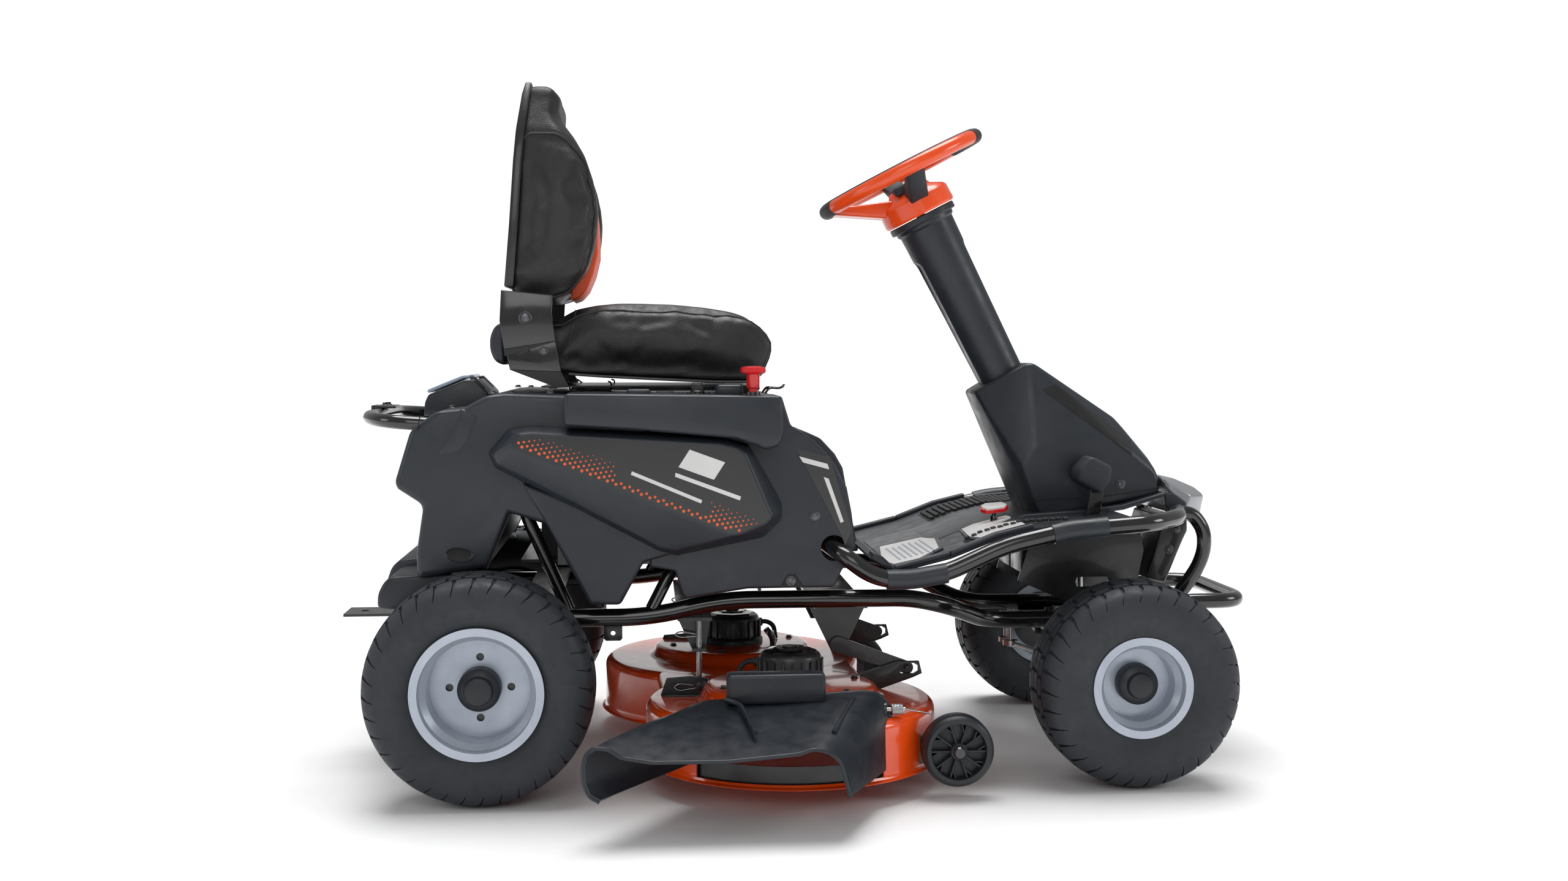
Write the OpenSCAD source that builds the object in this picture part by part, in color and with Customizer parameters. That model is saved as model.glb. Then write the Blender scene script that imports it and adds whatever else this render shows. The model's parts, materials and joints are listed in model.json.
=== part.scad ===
// Battery riding lawn mower: tube frame, side-discharge deck, steered front axle.
// Vehicle axes: +X forward, +Y left, +Z up, ground at z = 0, rear axle at x = 0.
// Every sub-part is drawn there and shifted once, so that the origin is on the
// ground under the middle of the whole machine.

/* [Overall] */
// Rear axle to front axle
wheelbase = 1186; // [1080:1:1430]
// Middle of one rear tyre to the middle of the other
rear_track = 790; // [770:1:860]
// Middle of one front tyre to the middle of the other
front_track = 742; // [700:1:840]
// Width of the painted body over its fixed sides
body_w = 660; // [640:1:700]

/* [Tyres and rims] */
// Outside diameter of a rear tyre
rear_tyre_d = 406; // [380:1:440]
// Section width of a rear tyre
rear_tyre_w = 165; // [140:1:170]
// Outside diameter of a front tyre
front_tyre_d = 376; // [340:1:400]
// Section width of a front tyre
front_tyre_w = 152; // [130:1:160]
// Diameter over the flange of a rear rim
rear_rim_d = 232; // [210:1:250]
// Diameter over the flange of a front rim
front_rim_d = 184; // [170:1:200]
// Thickness of a rim's pressed sheet
rim_wall = 3.5; // [2.5:0.5:5]
// Diameter of a rear half shaft
rear_shaft_d = 25.4; // [20:0.1:30]
// Diameter of a front stub axle
stub_d = 19; // [16:0.5:24]

/* [Tube frame] */
// Outside diameter of the lower rails
rail_d = 33; // [28:1:36]
// Outside diameter of the foot rails
foot_rail_d = 32; // [26:1:34]
// Outside diameter of the rear bumper
bumper_d = 26; // [22:1:30]
// Outside diameter of the front guard tubes
guard_d = 30; // [24:1:32]
// Outside diameter of the body struts
strut_d = 24; // [18:1:28]
// Wall of every frame tube
tube_wall = 2.5; // [2:0.5:4]
// Diameter of the hole in the hitch plate
hitch_hole_d = 16; // [12:0.5:20]
// Diameter of the hole in each accessory bracket
bracket_hole_d = 9; // [6:0.5:12]

/* [Steering] */
// Outside diameter of the steering wheel
wheel_d = 360; // [300:5:380]
// Thickness of the steering wheel's rim
wheel_grip_d = 28; // [22:1:32]
// Outside diameter of the steering column
column_d = 100; // [80:1:110]
// Lean of the column, back from vertical
column_lean = 27.2; // [24:0.1:30]
// Diameter of the steering shaft
steer_shaft_d = 19; // [15:0.5:22]
// Diameter of the kingpins
kingpin_d = 25; // [18:0.5:28]
// Diameter of the pin that the front axle rocks on
axle_pin_d = 20; // [16:0.5:26]
// Length of the steering arms
steer_arm = 85; // [75:1:95]

/* [Mower deck] */
// Length of a blade, tip to tip
blade_l = 466; // [380:1:472]
// Gap under the deck's rim
deck_gap = 45; // [35:1:60]
// Height of the deck's wall
deck_h = 106; // [90:1:112]
// Thickness of the deck's sheet
deck_wall = 3; // [2:0.5:4]
// Diameter of a blade motor
blade_motor_d = 116; // [96:1:124]
// Diameter of a gauge wheel
gauge_wheel_d = 128; // [110:1:136]

/* [Seat] */
// Width of the seat cushion
seat_w = 450; // [400:5:460]
// Width of the backrest
back_w = 440; // [380:5:450]

/* [Hidden] */
$fn = 64;

front_x = wheelbase;
rear_axle_z = rear_tyre_d / 2;
front_axle_z = front_tyre_d / 2;
run_gap = 0.05;          // radial clearance of a shaft that turns in a bore
skin_gap = 0.5;          // gap between two covers
body_y = body_w / 2;
rear_y = rear_track / 2;
front_y = front_track / 2;

// Whole machine: its ends set the shift to the origin
guard_nose = 301;        // front guard ahead of the front axle
hitch_tail = 300;        // hitch plate behind the rear axle
chute_reach = 700;       // chute lip from the centre plane
mid_x = (front_x + guard_nose - hitch_tail) / 2;
mid_y = (rear_y + rear_tyre_w / 2 - chute_reach) / 2;

// Frame
rail_y = 280;
rail_z = 305;            // height of a lower rail beside the rear tyre
rail_mid_z = 335;        // height of a lower rail over the deck
rail_nose_y = 120;
rail_nose_z = 265;
foot_rail_y = 365;
plate_t = 6;             // thickness of frame plates

// Steering column: the axis runs through the wheel's middle, leaning back
wheel_x = front_x - 380;
wheel_z = 1152;
joint_z = 425;           // height of the universal joint
joint_x = wheel_x + (wheel_z - joint_z) * tan(column_lean);
column_l = (wheel_z - joint_z) / cos(column_lean);
collar_top = -93;        // along the column, from the wheel's middle

// Front axle
axle_pivot_z = 202;
kingpin_y = 245;
sector_r = 80;
pinion_r = 20;
gear_m = 5;              // tooth module
sector_x = joint_x - sector_r + pinion_r;
sector_z = 254;
sector_t = 6;
rod_z = axle_pivot_z;
rod_pin_y = 20;          // steering pin from the sector's middle line
rod_pin_d = 12;
rod_play = 3;            // play around a sector pin, for the axle's rocking

// Deck: two blade circles, the right one further forward
right_blade = [560, -268];
left_blade = [475, 195];
blade_z = deck_gap + 17;
lobe_gap = 36;           // wall of the deck outside the blade's tip
lobe_r = blade_l / 2 + lobe_gap;
deck_top = deck_gap + deck_h;
motor_seat = deck_top + 24;
step_r = 165;            // raised step round each motor
chute_hinge = [right_blade[1] - 198, deck_top + 14];
chute_pin_d = 8;
lift_pin_d = 12;
gauge_pin_d = 12;
gauge_right = [842, -452];
gauge_left = [770, 400];
gauge_rise = 24;         // gauge wheel off the ground at rest

// Seat
seat_floor = 720;        // top of the seat support's risers
riser_x = [150, 490];
seat_pivot = [512, 724];

// ---- helpers ----

module place() translate([-mid_x, -mid_y, 0]) children();

module right_side(flip) mirror([0, flip ? 1 : 0, 0]) children();

// An outline in the x-z plane, extruded across the machine from y0 to y1
module slab(y0, y1)
  translate([0, y1, 0]) rotate([90, 0, 0]) linear_extrude(y1 - y0) children();

// An outline in the y-z plane, extruded along the machine from x0 to x1
module slabx(x0, x1)
  translate([x0, 0, 0]) rotate([90, 0, 90]) linear_extrude(x1 - x0) children();

module box(low, high) translate(low) cube(high - low);

module along_y(y0, y1, d) translate([0, y0, 0]) rotate([-90, 0, 0]) cylinder(d = d, h = y1 - y0);

module along_x(x0, x1, d) translate([x0, 0, 0]) rotate([0, 90, 0]) cylinder(d = d, h = x1 - x0);

function unit(v) = v / norm(v);

// An outline (anticlockwise) moved inwards by d, corners mitred
function inset(p, d) = let (n = len(p)) [
  for (i = [0 : n - 1])
    let (a = unit(p[i] - p[(i + n - 1) % n]), b = unit(p[(i + 1) % n] - p[i]),
         na = [-a[1], a[0]], nb = [-b[1], b[0]])
      p[i] + (na + nb) * d / (1 + na * nb)];

// Points of the arc that rounds corner p1 with radius r
function corner(p0, p1, p2, r, steps) =
  let (a = unit(p0 - p1), b = unit(p2 - p1), half = acos(a * b) / 2,
       run = r / tan(half), c = p1 + unit(a + b) * r / sin(half),
       v0 = p1 + a * run - c, v1 = p1 + b * run - c, w = 180 - 2 * half)
    [for (i = [0 : steps]) c + (sin((1 - i / steps) * w) * v0 + sin(i / steps * w) * v1) / sin(w)];

function rounded(path, r, steps = 4) = [
  path[0],
  for (i = [1 : len(path) - 2]) each corner(path[i - 1], path[i], path[i + 1], r, steps),
  path[len(path) - 1]];

function headings(p) = let (n = len(p)) [
  for (i = [0 : n - 1])
    unit((i > 0 ? unit(p[i] - p[i - 1]) : [0, 0, 0]) + (i < n - 1 ? unit(p[i + 1] - p[i]) : [0, 0, 0]))];

function sides(d, i, last) = i == len(d) ? [] :
  let (m = unit(last - (last * d[i]) * d[i])) concat([m], sides(d, i + 1, m));

function rings(p, r, n) = let (d = headings(p), m = sides(d, 0, [0.13, 0.21, 0.97])) [
  for (i = [0 : len(p) - 1], k = [0 : n - 1])
    p[i] + r * (cos(360 * k / n) * m[i] + sin(360 * k / n) * cross(d[i], m[i]))];

// A bent round tube along a path, with an open bore
module bent_tube(path, d, wall, n = 14) {
  c = len(path);
  q = c * n;
  outer = rings(path, d / 2, n);
  inner = rings(path, d / 2 - wall, n);
  at = function (i, k) i * n + k % n;
  skin = [for (i = [0 : c - 2], k = [0 : n - 1]) each [
    [at(i, k), at(i + 1, k), at(i + 1, k + 1)], [at(i, k), at(i + 1, k + 1), at(i, k + 1)],
    [q + at(i, k), q + at(i + 1, k + 1), q + at(i + 1, k)],
    [q + at(i, k), q + at(i, k + 1), q + at(i + 1, k + 1)]]];
  ends = [for (k = [0 : n - 1]) each [
    [at(0, k), at(0, k + 1), q + at(0, k + 1)], [at(0, k), q + at(0, k + 1), q + at(0, k)],
    [at(c - 1, k), q + at(c - 1, k), q + at(c - 1, k + 1)],
    [at(c - 1, k), q + at(c - 1, k + 1), at(c - 1, k + 1)]]];
  polyhedron(concat(outer, inner), concat(skin, ends));
}

// A closed cover drawn from its side outline, hollow
module shell(outline, y0, y1, wall) difference() {
  slab(y0, y1) polygon(outline);
  slab(y0 + wall, y1 - wall) polygon(inset(outline, wall));
}

// ---- frame ----

module lower_rail(flip) color("#15171a") place() right_side(flip)
  bent_tube(rounded([
    [-150, rail_y, rail_z], [300, rail_y, rail_z], [430, rail_y, rail_mid_z],
    [front_x - 400, rail_y, rail_mid_z], [front_x - 330, rail_y - 18, rail_mid_z - 18],
    [front_x - 225, rail_nose_y, rail_nose_z], [front_x + 100, rail_nose_y, rail_nose_z]], 60),
    rail_d, tube_wall);
module lower_rail_left() lower_rail(false);
module lower_rail_right() lower_rail(true);

module foot_rail(flip) color("#15171a") place() right_side(flip)
  bent_tube(rounded([
    [610, foot_rail_y - 85, 452], [652, foot_rail_y - 4, 424], [700, foot_rail_y, 388],
    [755, foot_rail_y, 378], [835, foot_rail_y, 391], [front_x - 240, foot_rail_y, 441],
    [front_x - 120, foot_rail_y, 468], [front_x + 34, foot_rail_y, 480],
    [front_x + 104, foot_rail_y - 65, 484], [front_x + 134, 204, 484]], 34, 3),
    foot_rail_d, tube_wall);
module foot_rail_left() foot_rail(false);
module foot_rail_right() foot_rail(true);

module front_guard() color("#15171a") place() {
  bent_tube(rounded([
    [front_x + 92, 156, 288], [front_x + 160, 156, 303],
    [front_x + guard_nose - guard_d / 2, 156, 303],
    [front_x + guard_nose - guard_d / 2, -156, 303],
    [front_x + 160, -156, 303], [front_x + 92, -156, 288]], 55), guard_d, tube_wall);
  for (flip = [false, true]) right_side(flip)
    bent_tube(rounded([
      [front_x + 134, 184, 482], [front_x + 172, 180, 480], [front_x + 195, 180, 446],
      [front_x + 197, 180, 412], [front_x + 187, 178, 378], [front_x + 165, 174, 342],
      [front_x + 152, 168, 322]], 24, 3), guard_d - 2, tube_wall);
}

module rear_bumper() color("#15171a") place()
  bent_tube(rounded([
    [-52, 252, 658], [-180, 252, 667], [-226, 180, 672],
    [-226, -180, 672], [-180, -252, 667], [-52, -252, 658]], 50), bumper_d, tube_wall);

cradle_y = 150;          // side plate from the centre plane
cradle_bearing = 60;     // diameter of the axle tube that the side plates hold
module rear_cradle() color("#1a1c1f") place() difference() {
  union() {
    box([-150, -rail_y, rail_z + rail_d / 2], [-30, rail_y, rail_z + rail_d / 2 + plate_t]);
    box([60, -rail_y, rail_z + rail_d / 2], [130, rail_y, rail_z + rail_d / 2 + plate_t]);
    for (flip = [false, true]) right_side(flip)
      slab(cradle_y, cradle_y + plate_t)
        polygon([[-150, rail_z + rail_d / 2], [-120, 250], [-45, 150], [45, 150], [110, 250],
                 [130, rail_z + rail_d / 2]]);
  }
  translate([0, 0, rear_axle_z]) along_y(-200, 200, cradle_bearing);
}

module hitch_plate() color("#1a1c1f") place() difference() {
  union() {
    box([-hitch_tail, -45, 276], [-150, 45, 281]);
    box([-156, -45, 281], [-150, 45, rail_z + rail_d / 2 + plate_t]);
  }
  translate([-hitch_tail + 35, 0, 270]) cylinder(d = hitch_hole_d, h = 20);
}

// Rear struts hold the seat support, the shorter ones the battery tray
bracket_at = [231, 276];
module body_struts() color("#15171a") place()
  for (flip = [false, true]) right_side(flip) {
    difference() {
      box([bracket_at[0] - 17, rail_y - 3, bracket_at[1] - 14],
          [bracket_at[0] + 17, rail_y + 3, rail_z - rail_d / 2 + 0.5]);
      translate([bracket_at[0], 0, bracket_at[1]]) along_y(rail_y - 9, rail_y + 9, bracket_hole_d);
    }
    bent_tube(rounded([
      [150, rail_y, rail_z + rail_d / 2 - 2], [66, rail_y, 515], [50, 236, 690]], 40, 3),
      strut_d, tube_wall);
    bent_tube([[302, rail_y, rail_z + rail_d / 2 - 2], [345, 262, 402]], strut_d, tube_wall);
  }

tray_z = 402;
module battery_tray() color("#1a1c1f") place() difference() {
  box([60, -268, tray_z], [440, 268, tray_z + 60]);
  box([59, -268 + plate_t, tray_z + plate_t], [441, 268 - plate_t, tray_z + 61]);
  for (flip = [false, true]) right_side(flip) box([59, 230, tray_z - 1], [130, 269, tray_z + 61]);
}

battery = [[96, -190, tray_z + plate_t], [424, 190, 610]];
module battery_pack() color("#2a2d31") place() {
  box(battery[0], battery[1]);
  for (y = [-120, 0, 120]) translate([0, y, 0]) box([180, -30, 610], [340, 30, 622]);
}

// Plate under the seat, standing on the rails in front and the struts behind
module seat_support() color("#1a1c1f") place() {
  support_y = console_in - 4;
  box([26, -support_y, 690], [505, support_y, 690 + plate_t]);
  difference() {
    box([499, -rail_y, rail_mid_z + rail_d / 2], [505, rail_y, 690]);
    box([498, -180, 430], [506, 180, 640]);
    for (flip = [false, true]) right_side(flip) box([498, support_y, 590], [506, rail_y + 1, 691]);
  }
  for (x = riser_x) box([x - 12, -80, 690 + plate_t], [x + 12, 80, seat_floor]);
}

carrier_z = rail_nose_z - rail_d / 2 - plate_t;
lug_in = 40;             // inner face of an axle lug from the axle's middle
module axle_carrier() color("#1a1c1f") place() {
  difference() {
    union() {
      box([sector_x - 40, -rail_nose_y - 10, carrier_z],
          [front_x + 90, rail_nose_y + 10, carrier_z + plate_t]);
      for (x = [front_x - lug_in - 8, front_x + lug_in])
        slabx(x, x + 8) polygon([[-40, carrier_z], [-26, axle_pivot_z - 20], [26, axle_pivot_z - 20], [40, carrier_z]]);
    }
    translate([joint_x, 0, carrier_z - 1]) cylinder(d = steer_shaft_d + 2 * run_gap, h = plate_t + 2);
  }
  translate([0, 0, axle_pivot_z]) along_x(front_x - lug_in - 14, front_x + lug_in + 14, axle_pin_d);
  translate([sector_x, 0, carrier_z]) cylinder(d = 20, h = sector_z + sector_t - carrier_z + 10);
}

link_pivot = [657, 236];
rod_x = 391;
rod_y = 230;
rod_d = 10;
module deck_hangers() color("#1a1c1f") place() {
  box([606, -rail_y + rail_d / 2 - 2, 314], [706, rail_y - rail_d / 2 + 2, 320]);
  for (flip = [false, true]) right_side(flip) difference() {
    slab(196, 202) polygon([[600, 314], [645, 222], [669, 222], [712, 314]]);
    translate([link_pivot[0], 0, link_pivot[1]]) along_y(190, 210, 12 + 2 * run_gap);
  }
  difference() {
    union() {
      box([350, -rail_y + rail_d / 2 - 2, 294], [414, rail_y - rail_d / 2 + 2, 300]);
      for (flip = [false, true]) right_side(flip) {
        slab(rod_y - 26, rod_y - 20) polygon([[350, 294], [378, 232], [404, 232], [414, 294]]);
        box([378, rod_y - 26, 232], [404, rod_y + 12, 238]);
      }
    }
    for (flip = [false, true]) right_side(flip)
      translate([rod_x, rod_y, 200]) cylinder(d = rod_d + 2, h = 120);
  }
}

// ---- drive ----

module transaxle() color("#2b2e33") place() translate([0, 0, rear_axle_z]) difference() {
  union() {
    along_y(-62, 62, 130);
    along_y(-190, 190, cradle_bearing);
    along_y(-215, 215, 48);
    translate([-96, 0, 10]) along_y(-78, 78, 112);
    box([-90, -50, -40], [0, 50, 50]);
  }
  along_y(-216, 216, rear_shaft_d + 2 * run_gap);
}

module rear_shaft(flip) color("silver") place() right_side(flip) translate([0, 0, rear_axle_z])
  along_y(1, rear_y + rim_hub_out, rear_shaft_d);
module rear_shaft_left() rear_shaft(false);
module rear_shaft_right() rear_shaft(true);

// ---- wheels: drawn with the axle along z, the outer side up ----

rim_hub_out = 24;        // hub past the wheel's middle, outwards
rim_hub_in = 40;

module rim(d, w, bore_d) {
  r = d / 2;
  h = w / 2;
  t = rim_wall;
  hub = 30;
  rotate_extrude() polygon([
    [r, h], [r, h - t], [r - 10, h - t - 4], [r - 12, h - 20], [r - 22, h - 27], [r - 24, h - 46],
    [r - 24, -h + 46], [r - 22, -h + 27], [r - 12, -h + 20], [r - 10, -h + t + 4], [r, -h + t], [r, -h],
    [r - 14, -h], [r - 12 - t, -h + 18], [r - 22 - t, -h + 29], [r - 24 - t, -h + 47],
    [r - 24 - t, -3], [hub, -3], [hub, -rim_hub_in], [bore_d / 2, -rim_hub_in], [bore_d / 2, rim_hub_out],
    [hub, rim_hub_out], [hub, 3], [r - 24 - t, 3],
    [r - 24 - t, h - 47], [r - 22 - t, h - 29], [r - 12 - t, h - 18], [r - 14, h]]);
}

// Half outline of a tyre's section: bead, bulged sidewall, rounded shoulder, tread
function tyre_side(r_out, r_bead, r_flange, w, bead_w, n = 9) =
  let (r_mid = r_flange + 0.42 * (r_out - r_flange)) [
    [r_bead, bead_w / 2], [r_flange, bead_w / 2],
    for (i = [1 : 4]) [r_flange + (r_mid - r_flange) * i / 5, bead_w / 2 + (w - bead_w) / 2 * sin(18 * i)],
    for (i = [0 : n]) let (a = 90 * i / n)
      [r_mid + (r_out - r_mid) * pow(sin(a), 0.62), w / 2 * pow(cos(a), 0.62)]];

module tyre(d, w, rim_d, rim_w, wall) {
  seat_r = rim_d / 2 - 9.9;
  bead_w = rim_w - 2 * (rim_wall + 4.5);
  half = tyre_side(d / 2, seat_r, rim_d / 2 + 1, w, bead_w);
  core = tyre_side(d / 2 - wall - 3, seat_r - 1, rim_d / 2 + wall, w - 2 * wall, bead_w - 2 * wall);
  rotate_extrude() difference() {
    polygon(concat(half, [for (i = [len(half) - 2 : -1 : 0]) [half[i][0], -half[i][1]]]));
    polygon(concat(core, [for (i = [len(core) - 2 : -1 : 0]) [core[i][0], -core[i][1]]]));
  }
}

rear_rim_w = rear_tyre_w - 15;
front_rim_w = front_tyre_w - 24;
lug_circle_r = 54;

module rear_wheel_at(flip) place() right_side(flip)
  translate([0, rear_y, rear_axle_z]) rotate([-90, 0, 0]) children();
module front_wheel_at(flip) place() right_side(flip)
  translate([front_x, front_y, front_axle_z]) rotate([-90, 0, 0]) children();

module rear_rim() color("#aab4c2") difference() {
  rim(rear_rim_d, rear_rim_w, rear_shaft_d + 0.02);
  for (a = [0 : 90 : 270]) rotate(a) translate([lug_circle_r, 0, -10]) cylinder(d = 14, h = 20);
}
module rear_rim_left() rear_wheel_at(false) rear_rim();
module rear_rim_right() rear_wheel_at(true) rear_rim();

module rear_tyre() color("#2c3138") tyre(rear_tyre_d, rear_tyre_w, rear_rim_d, rear_rim_w, 8);
module rear_tyre_left() rear_wheel_at(false) rear_tyre();
module rear_tyre_right() rear_wheel_at(true) rear_tyre();

module front_rim_left() front_wheel_at(false)
  color("#aab4c2") rim(front_rim_d, front_rim_w, stub_d + 2 * run_gap);
module front_rim_right() front_wheel_at(true)
  color("#aab4c2") rim(front_rim_d, front_rim_w, stub_d + 2 * run_gap);

module front_tyre() color("#2c3138") tyre(front_tyre_d, front_tyre_w, front_rim_d, front_rim_w, 8);
module front_tyre_left() front_wheel_at(false) front_tyre();
module front_tyre_right() front_wheel_at(true) front_tyre();

// ---- front axle and steering ----

beam_h = 40;
sleeve_h = 48;
ear_t = 8;
knuckle_y = kingpin_y + 24;   // inner face of a knuckle's upright plate
module front_axle_beam() color("#1a1c1f") place() translate([front_x, 0, axle_pivot_z]) difference() {
  union() {
    box([-25, -kingpin_y, -beam_h / 2], [25, kingpin_y, beam_h / 2]);
    along_x(-lug_in + 2, lug_in - 2, 48);
    for (flip = [false, true]) right_side(flip)
      translate([0, kingpin_y, -sleeve_h / 2]) cylinder(d = kingpin_d + 15, h = sleeve_h);
  }
  along_x(-lug_in, lug_in, axle_pin_d + 2 * run_gap);
  for (flip = [false, true]) right_side(flip)
    translate([0, kingpin_y, -sleeve_h / 2 - 1]) cylinder(d = kingpin_d + 2 * run_gap, h = sleeve_h + 2);
}

module knuckle(flip) color("#1a1c1f") place() right_side(flip) {
  translate([front_x, kingpin_y, axle_pivot_z]) {
    for (z = [-sleeve_h / 2 - 1 - ear_t, sleeve_h / 2 + 1]) difference() {
      box([-20, -20, z], [20, knuckle_y - kingpin_y + 1, z + ear_t]);
      translate([0, 0, z - 1]) cylinder(d = kingpin_d, h = ear_t + 2);
    }
    translate([0, 0, -sleeve_h / 2 - 1 - ear_t]) cylinder(d = kingpin_d, h = sleeve_h + 2 + 2 * ear_t);
    box([-30, knuckle_y - kingpin_y, -sleeve_h / 2 - 1 - ear_t],
        [30, knuckle_y - kingpin_y + 10, sleeve_h / 2 + 1 + ear_t]);
    box([-steer_arm - 10, rod_pin_y - 10, rod_z - axle_pivot_z - 14],
        [-29, knuckle_y - kingpin_y + 10, rod_z - axle_pivot_z - 6]);
    translate([-steer_arm, rod_pin_y, rod_z - axle_pivot_z - 14]) cylinder(d = rod_pin_d, h = 24);
  }
  translate([front_x, 0, front_axle_z]) along_y(knuckle_y + 9, front_y + rim_hub_out + 6, stub_d);
}
module knuckle_left() knuckle(false);
module knuckle_right() knuckle(true);

// Tie rod from a steering arm to the sector, eyes at both ends
module tie_rod(flip) color("#3a3d42") place() right_side(flip) {
  knuckle_end = [front_x - steer_arm, kingpin_y + rod_pin_y, rod_z];
  sector_end = [sector_x - steer_arm, rod_pin_y, rod_z];
  run = knuckle_end - sector_end;
  difference() {
    union() {
      translate(knuckle_end - [0, 0, 5]) cylinder(d = rod_pin_d + 14, h = 10);
      translate(sector_end - [0, 0, 5]) cylinder(d = rod_pin_d + 2 * rod_play + 14, h = 10);
      translate(sector_end) rotate([0, 90, atan2(run[1], run[0])]) translate([0, 0, 10])
        cylinder(d = 9, h = norm(run) - 20);
    }
    translate(knuckle_end - [0, 0, 6]) cylinder(d = rod_pin_d + 2 * run_gap, h = 12);
    translate(sector_end - [0, 0, 6]) cylinder(d = rod_pin_d + 2 * rod_play, h = 12);
  }
}
module tie_rod_left() tie_rod(false);
module tie_rod_right() tie_rod(true);

module gear_tooth(r) polygon([
  [r - 6, -4.4], [r - 0.9 * gear_m, -4.2], [r, -2.7], [r + 0.7 * gear_m, -1.3],
  [r + 0.7 * gear_m, 1.3], [r, 2.7], [r - 0.9 * gear_m, 4.2], [r - 6, 4.4]]);

sector_teeth = 2 * sector_r / gear_m;
pinion_teeth = 2 * pinion_r / gear_m;
sector_rim = 16;         // ring outside the pitch circle
sector_window = 60;      // half angle of the window that the pinion runs in
module ring_slice(r_in, r_out, half_angle) intersection() {
  difference() {
    circle(r = r_out);
    circle(r = r_in);
  }
  polygon(concat([[0, 0]], [for (i = [-4 : 4]) 2 * r_out * [cos(i * half_angle / 4), sin(i * half_angle / 4)]]));
}
module steering_sector() color("#5a5e63") place() translate([sector_x, 0, sector_z]) {
  difference() {
    union() {
      linear_extrude(sector_t) {
        difference() {
          ring_slice(8, sector_r + sector_rim, sector_window + 12);
          ring_slice(sector_r - 2 * pinion_r - 7, sector_r + 0.9 * gear_m, sector_window);
        }
        for (i = [-4 : 4]) rotate(i * 360 / sector_teeth)
          translate([2 * sector_r, 0]) mirror([1, 0]) gear_tooth(sector_r);
      }
      cylinder(d = 44, h = sector_t);
      box([-steer_arm - 12, -rod_pin_y - 10, 0], [0, rod_pin_y + 10, sector_t]);
    }
    translate([0, 0, -1]) cylinder(d = 20 + 2 * run_gap, h = sector_t + 2);
  }
  for (y = [-rod_pin_y, rod_pin_y]) translate([-steer_arm, y, rod_z - sector_z - 9])
    cylinder(d = rod_pin_d, h = sector_z - rod_z + 10);
}

module pinion_shaft() color("#5a5e63") place() translate([joint_x, 0, 0]) {
  translate([0, 0, sector_z - 2]) linear_extrude(sector_t + 4) {
    circle(r = pinion_r - 0.9 * gear_m);
    for (i = [0 : pinion_teeth - 1]) rotate((i + 0.5) * 360 / pinion_teeth) gear_tooth(pinion_r);
  }
  translate([0, 0, carrier_z - 6]) cylinder(d = steer_shaft_d, h = joint_z - 16 - carrier_z + 6);
  difference() {
    translate([0, 0, joint_z - 24]) cylinder(d = 44, h = 28);
    translate([0, 0, joint_z]) sphere(d = 30);
    translate([0, 0, joint_z]) cylinder(d = 30, h = 10);
    for (y = [-30, 14]) box([-30, y, joint_z - 14], [30, y + 16, joint_z + 10]);
  }
}

// Children are drawn with the column along z, the wheel's middle at the origin
module on_column() place() translate([wheel_x, 0, wheel_z]) rotate([0, -column_lean, 0]) children();

module steering_wheel() on_column() {
  color("#ff5a12") {
    rotate_extrude() translate([(wheel_d - wheel_grip_d) / 2, 0]) circle(d = wheel_grip_d);
    translate([0, 0, collar_top + 18]) cylinder(d = 150, h = 34);
  }
  color("#1c1e21") {
    for (a = [90, 180, 270]) rotate(a) difference() {
      slab(-22, 22) polygon([[60, -72], [60, -44], [wheel_d / 2 - 16, 9], [wheel_d / 2 - 16, -9]]);
      box([0, -30, -90], [1, 30, 30]);
    }
  }
  color("silver") {
    translate([0, 0, -column_l]) cylinder(d = steer_shaft_d, h = column_l + collar_top + 20);
    translate([0, 0, -column_l]) sphere(d = 28);
  }
}

column_foot = -505;      // lower end of the column's tube, from the wheel's middle
module column_cover() color("#2b333b") on_column() difference() {
  union() {
    translate([0, 0, collar_top - 16]) cylinder(d = column_d + 40, h = 16);
    translate([0, 0, column_foot]) cylinder(d = column_d, h = collar_top - 15 - column_foot);
  }
  translate([0, 0, column_foot - 1]) cylinder(d = column_d - 8, h = collar_top - 20 - column_foot);
  translate([0, 0, collar_top - 30]) cylinder(d = steer_shaft_d + 2 * run_gap, h = 40);
}

// ---- body covers ----

console_in = 250;        // inner side of a side console
console_x = [149, 536];
console_out = 400;
rear_outline = [
  [-118, 388], [8, 405], [45, 505], [150, 470], [298, 442], [298, 712], [150, 716], [40, 720],
  [8, 716], [-35, 692], [-79, 689], [-127, 655], [-157, 557], [-106, 519], [-119, 433]];
module rear_body() color("#2b333b") place() difference() {
  union() {
    difference() {
      shell(rear_outline, -body_y, body_y, 4);
      for (flip = [false, true]) right_side(flip) {
        box([-200, 228, 600], [-50, 400, 760]);
        box([console_x[0] - skin_gap, console_in - skin_gap, 600], [320, 420, 760]);
      }
    }
    for (flip = [false, true]) right_side(flip) {
      intersection() {
        slab(224, 228) polygon(rear_outline);
        box([-200, 200, 600], [-50, 300, 760]);
      }
      intersection() {
        slab(224, body_y) polygon(rear_outline);
        box([-50, 200, 600], [-46, 400, 760]);
      }
    }
    slab(-115, 115) polygon([[-131, 670], [-129, 696], [-122, 713], [-56, 740], [-30, 742], [0, 718], [0, 670]]);
  }
  box([-100, -body_y + 4, 380], [4, body_y - 4, 430]);
  box([4, -body_y + 4, 380], [290, body_y - 4, 520]);
  box([290, -body_y + 4, 440], [320, body_y - 4, 706]);
  box([riser_x[0] - 14, -82, 700], [riser_x[0] + 14, 82, 730]);
  slab(-85, 85) polygon([[-112, 680], [-110, 702], [-60, 722], [-44, 722], [-44, 680]]);
  slab(-85, 85) polygon([[-110, 700], [-108, 730], [-62, 750], [-60, 722]]);
}

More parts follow.
